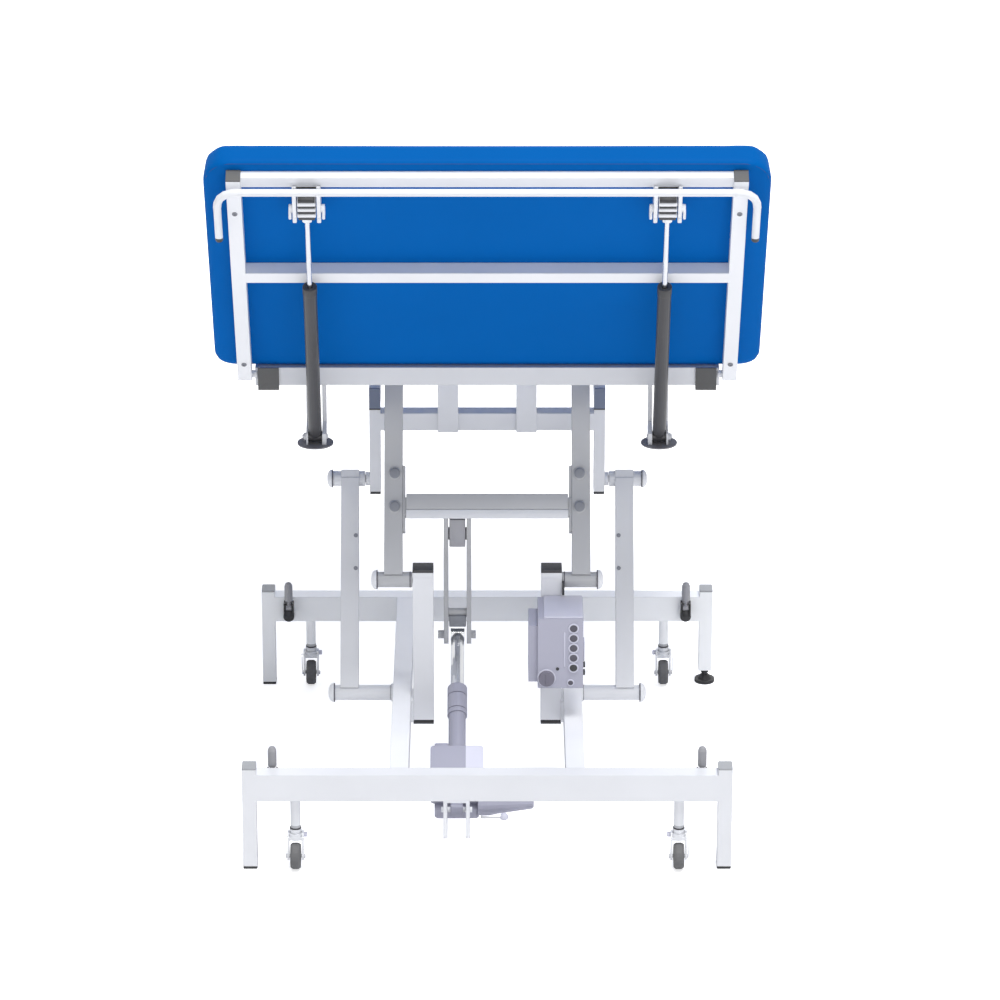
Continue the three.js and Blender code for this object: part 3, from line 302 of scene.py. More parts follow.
BLACKED = (0.02, 0.02, 0.022)
BARE_STEEL = (0.45, 0.46, 0.48)
LEVER_X = 456
EAR_HALF = 13
EAR_Y = ((40.5, 70), (954, 983.5))
EAR_Z = (177, 212)
STEM_X = 407
STEM_Y = (20, 1004)
GUIDE_HALF = 12
GUIDE_MOUTH_Z = (87, 96)
# The head beam's coat is a darker copy of the white (painted shade) and the foot beam's a lighter one
# (painted light).
beam_paint_shaded = white_paint("white_paint_beams_painted_shade", 0.90)
foot_beam_paint_lit = white_paint("white_paint_foot_beam_painted_light", 1.15)
lever_ears = []
for near, far in EAR_Y:
    for _, sign in SIDES:
        inner_edge, outer_edge = sign * (LEVER_X - EAR_HALF), sign * (LEVER_X + EAR_HALF)
        lever_ears.append((spot(inner_edge, near, EAR_Z[0]), spot(outer_edge, far, EAR_Z[1])))
guide_mouths = []
for y in STEM_Y:
    for _, sign in SIDES:
        inner_edge, outer_edge = sign * (STEM_X - GUIDE_HALF), sign * (STEM_X + GUIDE_HALF)
        low = spot(inner_edge, y - GUIDE_HALF, GUIDE_MOUTH_Z[0])
        high = spot(outer_edge, y + GUIDE_HALF, GUIDE_MOUTH_Z[1])
        guide_mouths.append((low, high))
for paint in (beam_paint_shaded, foot_beam_paint_lit):
    patch(paint, lever_ears, BLACKED, rough=0.45)
    patch(paint, guide_mouths, BARE_STEEL, rough=0.4)
wear(beam_paint_shaded, "base_head_beam")
wear(foot_beam_paint_lit, "base_foot_beam")
frame_paint = white_paint("white_paint")
rail_paint = white_paint("white_paint_rails")
POST_X = 139.5
POST_Y = 436.0
POST_HALF = 22.5
POST_FOOT_Z = (157, 163)
post_feet = []
for _, sign in SIDES:
    low = spot(sign * POST_X - 23.0, POST_Y - 23.0, POST_FOOT_Z[0])
    high = spot(sign * POST_X + 23.0, POST_Y + 23.0, POST_FOOT_Z[1])
    post_feet.append((low, high))
patch(rail_paint, post_feet, BLACKED, rough=0.5)
wear(rail_paint, "base_rail_left", "base_rail_right")
wear(frame_paint, "actuator_bracket")

leg_grey = finish(
    "leg_cap_plastic", (0.36, 0.37, 0.385), (0.32, 0.33, 0.345),
    rough=0.5, grain=900.0, relief=0.12, edge=1.0,
)
wear(leg_grey, *[f"leg_cap_{corner}" for corner in CORNERS])
rubber_black = finish(
    "foot_rubber", (0.018, 0.018, 0.02), (0.03, 0.03, 0.032),
    rough=0.6, grain=800.0, relief=0.2, worn=(0.08, 0.08, 0.08),
)
wear(rubber_black, "leg_foot_head_left", "leg_foot_head_right", "leg_foot_foot_left", "levelling_foot")

# Retracting castors: plated forks that swivel on plated stems, with grey rubber wheels on nylon hubs.
# A grey moulded grip beside each leg turns on a pin in two black ears and drops the stem.
steel_black = finish(
    "black_steel", (0.02, 0.02, 0.022), (0.035, 0.035, 0.038),
    rough=0.38, grain=600.0, relief=0.08, worn=(0.2, 0.2, 0.21),
)
chrome = finish(
    "chrome", (0.80, 0.81, 0.83), (0.72, 0.73, 0.76),
    rough=0.16, grain=350.0, relief=0.04, metal=1.0, edge=0.8,
)
bright_zinc = finish(
    "bright_zinc", (0.78, 0.79, 0.81), (0.70, 0.71, 0.74),
    rough=0.3, grain=350.0, relief=0.05, metal=0.35, edge=0.8,
)
wear(bright_zinc, *[f"castor_{piece}_{corner}" for piece in ("stem", "fork") for corner in CORNERS])
tread = finish(
    "wheel_rubber", (0.10, 0.10, 0.104), (0.13, 0.13, 0.134),
    rough=0.62, grain=700.0, relief=0.25, edge=1.0,
)
wear(tread, *[f"castor_wheel_{corner}" for corner in CORNERS])
grip_grey = finish(
    "handle_plastic", (0.33, 0.33, 0.35), (0.29, 0.29, 0.31),
    rough=0.42, grain=900.0, relief=0.12, edge=1.0,
)
wear(grip_grey, *[f"castor_lever_{corner}" for corner in CORNERS])

# Standing posts and control box: two 45 mm steel tubes, each with a white collar under its dark moulded
# plug and another plug at its foot, carry the inner arms. The lavender-grey moulded box that is screwed to
# the right post has cable sockets and a dial.
cap_black = finish(
    "black_plastic", (0.045, 0.045, 0.048), (0.06, 0.06, 0.063),
    rough=0.5, grain=900.0, relief=0.15, edge=1.0,
)
wear(cap_black, "post_cap_left", "post_cap_right")
lavender = finish(
    "lavender_plastic", (0.46, 0.46, 0.55), (0.42, 0.42, 0.51),
    rough=0.42, grain=1100.0, relief=0.18, edge=1.5,
)
wear(lavender, "control_box")
dial_grey = finish(
    "dial_plastic", (0.20, 0.19, 0.24), (0.17, 0.16, 0.21),
    rough=0.42, grain=1000.0, relief=0.15, edge=1.2,
)
wear(dial_grey, "control_box_dial")


SMOOTH_UNDER = 35.0


def settle(piece, name, material, body):
    """Names a finished piece, bakes its place into its mesh, smooths it and lets it ride on a body."""
    bpy.ops.object.mode_set(mode="OBJECT")
    bpy.ops.object.select_all(action="DESELECT")
    piece.select_set(True)
    bpy.context.view_layer.objects.active = piece
    bpy.ops.object.transform_apply(location=True, rotation=True, scale=True)
    bpy.ops.object.shade_smooth_by_angle(angle=math.radians(SMOOTH_UNDER))
    piece.name = name
    piece.data.name = name
    piece.data.materials.clear()
    piece.data.materials.append(material)
    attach(piece, body)


def soft_box(low, high, radius):
    """A moulded block between two corners, with every edge rounded."""
    bpy.ops.object.select_all(action="DESELECT")
    middle = [(a + b) / 2 for a, b in zip(low, high)]
    size = [abs(b - a) for a, b in zip(low, high)]
    bpy.ops.mesh.primitive_cube_add(size=1.0, location=middle, scale=size)
    piece = bpy.context.object
    bpy.ops.object.transform_apply(location=False, rotation=False, scale=True)
    bpy.ops.object.mode_set(mode="EDIT")
    bpy.ops.mesh.select_all(action="SELECT")
    bpy.ops.mesh.bevel(offset=radius / 1000, segments=2, affect="EDGES")
    bpy.ops.object.mode_set(mode="OBJECT")
    return piece


POST_FITTINGS = (
    ("post_collar", POST_HALF + 0.5, (498.0, 511.0), 0.8, frame_paint, "white_paint"),
    ("post_plug", POST_HALF + 0.1, (511.2, 517.5), 1.2, cap_black, "black_plastic"),
    ("post_foot_plug", POST_HALF, (153.0, 157.8), 0.8, cap_black, "black_plastic"),
)
for side, sign in SIDES:
    for name, half, (z_low, z_high), radius, material, slot in POST_FITTINGS:
        low = spot(sign * POST_X - half, POST_Y - half, z_low)
        high = spot(sign * POST_X + half, POST_Y + half, z_high)
        fitting = soft_box(low, high, radius)
        settle(fitting, f"{name}_{side}", material, "base")

# Castor fittings: a pressed steel collar under each guide tube, a thread guard of thin spring wire, a
# moulded swivel lock and zinc plated axle nuts. At each grip a black moulded saddle, with a white slot in
# it, is pushed in between the lever ears.


def pick_edges(piece, wanted):
    """Leaves only the wanted edges of a piece selected, in edit mode."""
    bpy.ops.object.mode_set(mode="EDIT")
    bpy.ops.mesh.select_mode(type="EDGE")
    bpy.ops.mesh.select_all(action="DESELECT")
    bpy.ops.object.mode_set(mode="OBJECT")
    for edge in piece.data.edges:
        a, b = (piece.data.vertices[i].co for i in edge.vertices)
        edge.select = wanted(a, b)
    bpy.ops.object.mode_set(mode="EDIT")


FACING = {"x": (0.0, math.pi / 2, 0.0), "y": (math.pi / 2, 0.0, 0.0), "z": (0.0, 0.0, 0.0)}


def stud(place, axis, radius, tall, edge, vertices=32):
    """A turned disc, ring or bolt head centred on a place, with rounded rims."""
    bpy.ops.object.select_all(action="DESELECT")
    bpy.ops.mesh.primitive_cylinder_add(
        vertices=vertices, radius=radius / 1000, depth=tall / 1000, location=place, rotation=FACING[axis]
    )
    piece = bpy.context.object
    pick_edges(piece, lambda a, b: abs(a.z - b.z) < 0.00001)
    bpy.ops.mesh.bevel(offset=edge / 1000, segments=3, affect="EDGES")
    bpy.ops.object.mode_set(mode="OBJECT")
    return piece


def lean(piece, degrees, centre):
    """Turns a piece about a crosswise axis; a positive angle tips its top towards the head end."""
    bpy.ops.object.select_all(action="DESELECT")
    piece.select_set(True)
    bpy.context.view_layer.objects.active = piece
    bpy.ops.transform.rotate(value=-math.radians(degrees), orient_axis="X", center_override=centre)


def hollow_stud(place, axis, radius, tall, edge, inner, deep, towards):
    """A turned disc with a round recess sunk in the face that looks along +1 or -1 of its axis."""
    piece = stud(place, axis, radius, tall, edge)
    index = "xyz".index(axis)
    bpy.ops.object.mode_set(mode="EDIT")
    bpy.ops.mesh.select_mode(type="FACE")
    bpy.ops.mesh.select_all(action="DESELECT")
    bpy.ops.object.mode_set(mode="OBJECT")
    turned = piece.matrix_world.to_3x3()
    for face in piece.data.polygons:
        face.select = (turned @ face.normal)[index] * towards > 0.99 and len(face.vertices) > 8
    bpy.ops.object.mode_set(mode="EDIT")
    bpy.ops.mesh.inset(thickness=(radius - edge - inner) / 1000, depth=0.0)
    bpy.ops.mesh.inset(thickness=0.0002, depth=-deep / 1000)
    bpy.ops.object.mode_set(mode="OBJECT")
    return piece


pin_steel = finish(
    "zinc_plate", (0.62, 0.62, 0.64), (0.54, 0.54, 0.56),
    rough=0.3, grain=500.0, relief=0.06, metal=1.0, edge=0.5,
)
# Pale plastic that is partly painted highlight: socket rims, rib, dial rim and knobs are pale where
# highlights fall, and the lid is pale as painted light on the box's top.
pale_highlight_finish = finish(
    "pale_plastic_painted_highlight", (0.66, 0.66, 0.76), (0.60, 0.60, 0.70),
    rough=0.35, grain=1100.0, relief=0.12, edge=0.6,
)
socket_dark = finish(
    "socket_plastic", (0.11, 0.105, 0.13), (0.08, 0.075, 0.095),
    rough=0.5, grain=1000.0, relief=0.15, edge=0.5,
)
LEVER_AXLE_Z = 177
LEVER_Y = (51, 973)
AXLE_Z = 29.5
TRAIL = 17
GUARD_LEAN = 14
GUARD_OUT = 21
for end, y, lever_y in zip(ENDS, STEM_Y, LEVER_Y):
    for side, sign in SIDES:
        corner = f"{end}_{side}"
        x = sign * LEVER_X
        saddle = stud(spot(x, lever_y, LEVER_AXLE_Z), "y", radius=12.5, tall=20, edge=2.0, vertices=36)
        settle(saddle, f"lever_saddle_{corner}", steel_black, "base")
        window = soft_box(
            spot(x - 6.5, lever_y - 11.5, LEVER_AXLE_Z), spot(x + 6.5, lever_y + 11.5, LEVER_AXLE_Z + 15), 1.0
        )
        settle(window, f"lever_window_{corner}", beam_paint_shaded, "base")
        x = sign * STEM_X
        ring = hollow_stud(
            spot(x, y, 88.8), "z",
            radius=12.5, tall=2.2, edge=0.5, inner=7.6, deep=1.0, towards=-1,
        )
        settle(ring, f"stem_collar_{corner}", steel_black, "base")
        swivel = f"castor_fork_{corner}_swivel"
        guard_place = spot(x + sign * GUARD_OUT, y - 9, 44)
        wire = stud(guard_place, "z", radius=0.9, tall=46, edge=0.3, vertices=12)
        lean(wire, GUARD_LEAN, guard_place)
        settle(wire, f"thread_guard_{corner}", bright_zinc, swivel)
        foot = stud(
            spot(x + sign * (GUARD_OUT - 1), y - 3, 68), "x", radius=0.9, tall=7, edge=0.3, vertices=12
        )
        settle(foot, f"thread_guard_foot_{corner}", bright_zinc, swivel)
        for letter, hand in (("l", -1), ("r", 1)):
            nut = stud(
                spot(x + hand * 19.5, y - TRAIL, AXLE_Z), "x", radius=5.0, tall=3.0, edge=0.8, vertices=6
            )
            settle(nut, f"axle_nut_{corner}_{letter}", pin_steel, swivel)
        # The swivel lock is painted pale, partly as painted light.
        knob = stud(spot(x - sign * GUARD_OUT, y + 4, 70), "x", radius=5.5, tall=8.0, edge=1.6, vertices=20)
        settle(knob, f"swivel_lock_{corner}", pale_highlight_finish, swivel)

# Control box fittings, all moulded plastic: five round sockets in a column and a smaller one below them, a
# rib beside the column, a pilot hole, a rim round the dial, a lid on top, two latches on the edge and a clip
# pressed on the post above. The socket rims, rib, dial rim and lid are painted pale: painted highlights, and
# painted light on the top.
SOCKET_X = 186
SMALL_SOCKET_X = 180
RIM_Y = 288.6
SOCKET_PITCH = 23
LOWEST_SOCKET_Z = 341
SMALL_SOCKET_Z = 306
LATCH_Z = (327, 345)
for number in range(5):
    z = LOWEST_SOCKET_Z + SOCKET_PITCH * number
    rim = hollow_stud(
        spot(SOCKET_X, RIM_Y, z), "y",
        radius=11.2, tall=3.4, edge=0.8, inner=8.4, deep=2.4, towards=-1,
    )
    settle(rim, f"socket_rim_{number + 1}", pale_highlight_finish, "base")
    plug = stud(spot(SOCKET_X, RIM_Y + 2.0, z), "y", radius=8.6, tall=6.4, edge=1.2)
    settle(plug, f"socket_{number + 1}", cap_black if number == 0 else socket_dark, "base")
rim = hollow_stud(
    spot(SMALL_SOCKET_X, RIM_Y, SMALL_SOCKET_Z), "y",
    radius=8.0, tall=3.4, edge=0.8, inner=5.6, deep=2.4, towards=-1,
)
settle(rim, "socket_rim_small", pale_highlight_finish, "base")
plug = stud(spot(SMALL_SOCKET_X, RIM_Y + 0.4, SMALL_SOCKET_Z), "y", radius=5.4, tall=4.0, edge=0.8)
settle(plug, "socket_small", socket_dark, "base")
rib = soft_box(spot(165.2, 288.2, 343), spot(168.2, 291.0, 424), 1.0)
settle(rib, "socket_rib", pale_highlight_finish, "base")
pilot = hollow_stud(
    spot(151.7, 289.4, 338), "y",
    radius=3.6, tall=1.6, edge=0.4, inner=2.2, deep=0.8, towards=-1,
)
settle(pilot, "pilot_hole", cap_black, "base")
for number, z in enumerate(LATCH_Z):
    latch = soft_box(spot(204.0, 291, z - 4.5), spot(211.5, 306, z + 4.5), 1.2)
    settle(latch, f"latch_{number + 1}", cap_black, "base")
lid = soft_box(spot(122, 291.5, 454.5), spot(206, 412, 459.5), 1.5)
settle(lid, "control_box_lid", pale_highlight_finish, "base")
rim = hollow_stud(
    spot(128, 289.2, 317), "y",
    radius=20.0, tall=2.6, edge=0.8, inner=17.4, deep=1.6, towards=-1,
)
settle(rim, "dial_rim", pale_highlight_finish, "base")
clip = soft_box(spot(162.3, 402, 463), spot(167.5, 420, 490), 1.0)
settle(clip, "cable_clip", cap_black, "base")

# Lifting linkage: two pairs of 40 mm square steel arms, coated white, whose welded sleeves turn on cross
# pins with domed covers. Thin dark rings seal the sleeves, two bolts hold each end of the crossbar, and
# its front is covered by two folded strips.


def collar(place, axis, radius, thick):
    """A ring round a tube."""
    bpy.ops.object.select_all(action="DESELECT")
    bpy.ops.mesh.primitive_torus_add(
        major_radius=radius / 1000,
        minor_radius=thick / 1000,
        major_segments=40,
        minor_segments=10,
        location=place,
        rotation=FACING[axis],
    )
    return bpy.context.object


# The inner arms and crossbar get a much darker copy of the white, as painted shade under the table top, and
# the outer arms a slightly darker one, also painted shade.
inner_arm_paint_shaded = white_paint("white_paint_inner_arms_painted_shade", 0.60)
wear(inner_arm_paint_shaded, "inner_arm_left", "inner_arm_right", "lift_crossbar")
wear(white_paint("white_paint_outer_arms_painted_shade", 0.93), "outer_arm_left", "outer_arm_right")
zinc_grey = finish(
    "zinc_grey", (0.27, 0.28, 0.31), (0.22, 0.23, 0.26),
    rough=0.42, grain=500.0, relief=0.08, edge=1.0,
)
ARM_LEAN = 61.5
INNER_PIVOT = spot(0, 436, 486.5)
OUTER_PIVOT = spot(0, 503, 189.5)
BOLT_SIZE = {"radius": 11.6, "tall": 8.6, "edge": 3.4, "vertices": 28}
SCREW_SIZE = {"radius": 4.6, "tall": 2.4, "edge": 0.9, "vertices": 20}
ARM_FITTINGS = (
    ("arm_bolt", INNER_PIVOT, (0.201, 0.0247), (0.157, 0.230), BOLT_SIZE, "inner_arms"),
    ("outer_arm_screw", OUTER_PIVOT, (0.291, 0.0204), (0.347, 0.274), SCREW_SIZE, "outer_arms"),
)
for name, pivot, (out, above), places, size, body in ARM_FITTINGS:
    for side, sign in SIDES:
        for number, along in enumerate(places):
            head = stud(pivot + Vector((sign * out, along, above)), "z", **size)
            lean(head, ARM_LEAN, pivot)
            settle(head, f"{name}_{side}_{number + 1}", zinc_grey, body)

SLEEVE_SEALS = (
    ("inner_low", spot(239.4, 436, 486.5), 20.6, "base"),
    ("outer_low", spot(337.4, 503, 189.5), 20.6, "base"),
    ("outer_top", spot(343.4, 730.4, 608.3), 19.6, "upper_frame"),
    ("inner_foot", spot(167.5, 436, 486.5), 17.0, "inner_arms"),
    ("outer_foot", spot(212.0, 503, 189.5), 17.0, "outer_arms"),
)
for side, sign in SIDES:
    for name, (x, y, z), radius, body in SLEEVE_SEALS:
        seal = collar(Vector((sign * x, y, z)), "x", radius=radius, thick=1.1)
        settle(seal, f"sleeve_seal_{name}_{side}", socket_dark, body)

COVER_HALF = 0.176
COVER_LOW, COVER_HIGH = 0.0205, 0.0288
# The upper strip takes the inner arms' painted shade and the lower strip the plain white, so the lower one
# shows lighter.
CROSSBAR_COVERS = (("upper", 0.1502, 0.1845, inner_arm_paint_shaded), ("lower", 0.1305, 0.1499, frame_paint))
for name, low_at, high_at, paint in CROSSBAR_COVERS:
    low = INNER_PIVOT + Vector((-COVER_HALF, low_at, COVER_LOW))
    high = INNER_PIVOT + Vector((COVER_HALF, high_at, COVER_HIGH))
    strip = soft_box(low, high, 1.5)
    lean(strip, ARM_LEAN, INNER_PIVOT)
    settle(strip, f"crossbar_cover_{name}", paint, "inner_arms")

# Electric actuator: a moulded motor and gearbox housing, a moulded tube and a chromed steel piston, bolted
# between the base's lugs and the lever plates. It has two dark sealing bands, a side cover and an
# emergency-lowering spindle with a ball knob. A grey spacer and a grey block part the lever plates.
TAIL = spot(-65, 74.5, 104.3)
TUBE_RISE = 27.46
# The housing's plastic is a darker copy of the control box's lavender, as painted shade.
motor_shade_and_highlight = finish(
    "motor_plastic_painted_shade_and_highlight", (0.37, 0.37, 0.45), (0.34, 0.34, 0.42),
    rough=0.42, grain=1100.0, relief=0.18, edge=1.5,
)
# A pale patch over the housing's right end is a painted highlight on its rounded end.
motor_painted_highlight = (spot(-46, 60, 142), spot(12, 230, 215))
patch(motor_shade_and_highlight, [motor_painted_highlight], (0.66, 0.66, 0.76), rough=0.4)
wear(motor_shade_and_highlight, "actuator_body")
wear(chrome, "actuator_rod")
band_grey = finish(
    "band_plastic", (0.16, 0.16, 0.21), (0.13, 0.13, 0.17),
    rough=0.5, grain=900.0, relief=0.12, edge=0.6,
)
BANDS_ALONG = (0.267, 0.307)
for number, along in enumerate(BANDS_ALONG):
    band = collar(TAIL + Vector((0.0, along, 0.0)), "y", radius=19.6, thick=1.35)
    lean(band, TUBE_RISE, TAIL)
    settle(band, f"tube_band_{number + 1}", band_grey, "actuator_housing")
cover = soft_box(TAIL + Vector((-0.048, 0.148, -0.020)), TAIL + Vector((-0.018, 0.163, 0.024)), 3.0)
lean(cover, TUBE_RISE, TAIL)
settle(cover, "gearbox_cover", motor_shade_and_highlight, "actuator_housing")
SPINDLE_Y, SPINDLE_Z = 82, 84
spindle = stud(spot(12, SPINDLE_Y, SPINDLE_Z), "x", radius=4.0, tall=52, edge=1.0, vertices=20)
settle(spindle, "lowering_spindle", pin_steel, "actuator_housing")
# The ball knob is painted pale, partly as a painted highlight.
bpy.ops.object.select_all(action="DESELECT")
bpy.ops.mesh.primitive_uv_sphere_add(
    segments=28, ring_count=16, radius=0.0095, location=spot(36, SPINDLE_Y, SPINDLE_Z)
)
ball = bpy.context.object
bpy.ops.transform.resize(value=(1.0, 0.9, 0.9))
settle(ball, "lowering_knob", pale_highlight_finish, "actuator_housing")
spacer = soft_box(spot(-83.5, 489, 352), spot(-46.5, 519, 378), 1.5)
settle(spacer, "lever_spacer", zinc_grey, "inner_arms")
hanger = soft_box(spot(-82.5, 486, 542), spot(-47.5, 521, 606), 2.0)
# The block's grey is lighter than the spacer's, as painted light on a part that sits in shade.
block_grey_painted_light = finish(
    "block_grey_painted_light", (0.42, 0.42, 0.45), (0.38, 0.38, 0.41),
    rough=0.42, grain=500.0, relief=0.08, edge=1.0,
)
settle(hanger, "lever_block", block_grey_painted_light, "inner_arms")

# Upper frames: the 50 x 45 mm tube frame under the pads and the hanger frame that the outer arms carry,
# both welded steel, coated white. The open tube ends are closed with dark moulded plugs, and a rubber-faced
# disc sits under each spring.
# The main frame's coat is a darker copy of the white: painted shade.
wear(white_paint("white_paint_upper_painted_shade", 0.86), "main_frame")
wear(frame_paint, "lift_hanger_frame")
cap_grey = finish(
    "cap_plastic", (0.085, 0.085, 0.085), (0.105, 0.105, 0.105),
    rough=0.48, grain=900.0, relief=0.15, edge=1.2,
)
wear(cap_grey, "main_frame_cap_left", "main_frame_cap_right")
# The hanger caps' blue-grey, lighter and bluer than the other plugs, is partly their dark plastic and partly
# painted shade with a painted blue reflection of the pads; a black strip is painted round their foot.
hanger_cap_and_shade = finish(
    "hanger_cap_plastic_and_painted_shade", (0.19, 0.22, 0.31), (0.16, 0.19, 0.27),
    rough=0.42, grain=900.0, relief=0.12, edge=1.0,
)
HANGER_X = 248
hanger_feet = []
for _, sign in SIDES:
    hanger_feet.append((spot(sign * HANGER_X - 13, 707, 778), spot(sign * HANGER_X + 13, 713, 782)))
patch(hanger_cap_and_shade, hanger_feet, BLACKED, rough=0.45)
wear(hanger_cap_and_shade, "hanger_cap_left", "hanger_cap_right")
for side, sign in SIDES:
    plug = soft_box(spot(sign * HANGER_X - 12, 712.5, 577.5), spot(sign * HANGER_X + 12, 747.5, 585.0), 0.8)
    settle(plug, f"hanging_post_plug_{side}", cap_black, "upper_frame")
disc_grey = finish(
    "disc_rubber", (0.21, 0.205, 0.22), (0.18, 0.175, 0.19),
    rough=0.5, grain=700.0, relief=0.2, edge=1.0,
)
wear(disc_grey, "spring_disc_left", "spring_disc_right")

# Backrest frame: 30 mm square steel tube with a middle rail and welded clevises for the gas springs, and
# the bent release bar that turns in them, all coated white. The tube ends and the bar's ends are closed
# with dark plugs. Screws hold the rails to the hinge and to the cushion's board.
HINGE = spot(0, 462.5, 952.5)
BACK_ANGLE = 59.2


def on_back(x, along, above):
    """A place on the backrest while it is drawn lying flat, measured from its hinge in millimetres."""
    return HINGE + Vector((x / 1000, -along / 1000, above / 1000))


# The backrest frame's coat is a slightly lighter copy of the white: painted light.
wear(white_paint("white_paint_backrest_painted_light", 1.03), "backrest_frame")
wear(cap_grey, "backrest_cap_left", "backrest_cap_right")
bar_paint = white_paint("white_paint_bar")
bar_ends = [(spot(sign * 541, 150, 1300), spot(sign * 565, 260, 1349)) for _, sign in SIDES]
patch(bar_paint, bar_ends, (0.05, 0.05, 0.052), rough=0.5)
SPRING_X = 370
SCREWS_ALONG = (49.5, 536)
wear(bar_paint, "release_bar")
for side, sign in SIDES:
    for number, along in enumerate(SCREWS_ALONG):
        screw = hollow_stud(
            on_back(sign * 519, along, -15.6), "z",
            radius=5.6, tall=3.2, edge=1.0, inner=2.8, deep=1.6, towards=-1,
        )
        lean(screw, -BACK_ANGLE, HINGE)
        settle(screw, f"rail_screw_{side}_{number + 1}", zinc_grey, "backrest")
    spring_x = sign * SPRING_X
    for letter, hand in (("l", -1), ("r", 1)):
        knob = stud(
            on_back(spring_x + hand * 34.5, 551, -24), "x", radius=14.5, tall=6.0, edge=2.2, vertices=28
        )
        lean(knob, -BACK_ANGLE, HINGE)
        settle(knob, f"clevis_head_{side}_{letter}", bar_paint, "backrest")
        cheek_x = spring_x + hand * 25
        cheek = soft_box(on_back(cheek_x - 4.4, 547, -37), on_back(cheek_x + 4.4, 532, -10), 2.0)
        lean(cheek, -BACK_ANGLE, HINGE)
        settle(cheek, f"clevis_cheek_{side}_{letter}", bar_paint, "backrest")
    pocket = soft_box(on_back(spring_x - 20, 598, 0), on_back(spring_x + 20, 606, 13), 1.0)
    lean(pocket, -BACK_ANGLE, HINGE)
    settle(pocket, f"clevis_pocket_{side}", cap_black, "backrest")

# Gas springs: satin dark grey steel cylinders with bright steel rods, locked until the release bar is
# turned. Each rod screws into a valve head of three white plates round a dark core, bolted in its clevis.
spring_paint = finish(
    "spring_paint", (0.062, 0.062, 0.067), (0.053, 0.053, 0.058),
    rough=0.33, grain=400.0, relief=0.05, edge=1.0,
)
wear(spring_paint, "gas_spring_cylinder_left", "gas_spring_cylinder_right")
wear(chrome, "gas_spring_rod_left", "gas_spring_rod_right")
SPRING_LEAN = 26.05
VALVE_PLATES = ((676, 8), (692, 7), (707.5, 8))
for side, sign in SIDES:
    pivot = spot(sign * SPRING_X, 455, 812)
    seal = hollow_stud(
        pivot + Vector((0.0, 0.0, 0.4445)), "z",
        radius=15.3, tall=21.0, edge=1.5, inner=7.0, deep=3.0, towards=1,
    )
    lean(seal, SPRING_LEAN, pivot)
    settle(seal, f"spring_seal_{side}", cap_black, f"spring_cylinder_{side}")
    core = soft_box(pivot + Vector((-0.0172, -0.0158, 0.662)), pivot + Vector((0.0172, 0.0125, 0.7165)), 1.0)
    lean(core, SPRING_LEAN, pivot)
    settle(core, f"valve_core_{side}", cap_black, f"spring_rod_{side}")
    for number, (along, tall) in enumerate(VALVE_PLATES):
        fin = soft_box(
            pivot + Vector((-0.019, -0.0188, (along - tall / 2) / 1000)),
            pivot + Vector((0.019, 0.0135, (along + tall / 2) / 1000)),
            1.2,
        )
        lean(fin, SPRING_LEAN, pivot)
        settle(fin, f"valve_plate_{side}_{number + 1}", bar_paint, f"spring_rod_{side}")
    flare = stud(pivot + Vector((0.0, 0.0, 0.6570)), "z", radius=11.5, tall=7.0, edge=2.8, vertices=28)
    lean(flare, SPRING_LEAN, pivot)
    settle(flare, f"valve_nut_{side}", pin_steel, f"spring_rod_{side}")

# Cushions: foam on a board, wrapped in blue vinyl with a fine leather grain, the vinyl drawn under
# the board and stitched round the edge. Each is sewn tight, so it bulges only a little, and its board is
# screwed to the frame.
vinyl = finish(
    "blue_vinyl", (0.0004, 0.116, 0.43), (0.0004, 0.108, 0.40),
    rough=0.5, grain=1500.0, relief=0.22, blotch=3.0, edge=2.0,
)
weave = vinyl.node_tree
weave.nodes["Principled BSDF"].inputs["Specular IOR Level"].default_value = 0.03
pores = weave.nodes.new("ShaderNodeTexVoronoi")
pores.inputs["Scale"].default_value = 620.0
weave.links.new(weave.nodes["Texture Coordinate"].outputs["Object"], pores.inputs["Vector"])
leather = weave.nodes.new("ShaderNodeBump")
leather.inputs["Strength"].default_value = 0.35
leather.inputs["Distance"].default_value = 0.0003
weave.links.new(pores.outputs["Distance"], leather.inputs["Height"])
weave.links.new(weave.nodes["bump"].outputs["Normal"], leather.inputs["Normal"])
weave.links.new(leather.outputs["Normal"], weave.nodes["Principled BSDF"].inputs["Normal"])
seam_blue = finish(
    "seam_blue", (0.001, 0.045, 0.24), (0.001, 0.04, 0.2),
    rough=0.5, grain=1500.0, relief=0.3, edge=0.5,
)


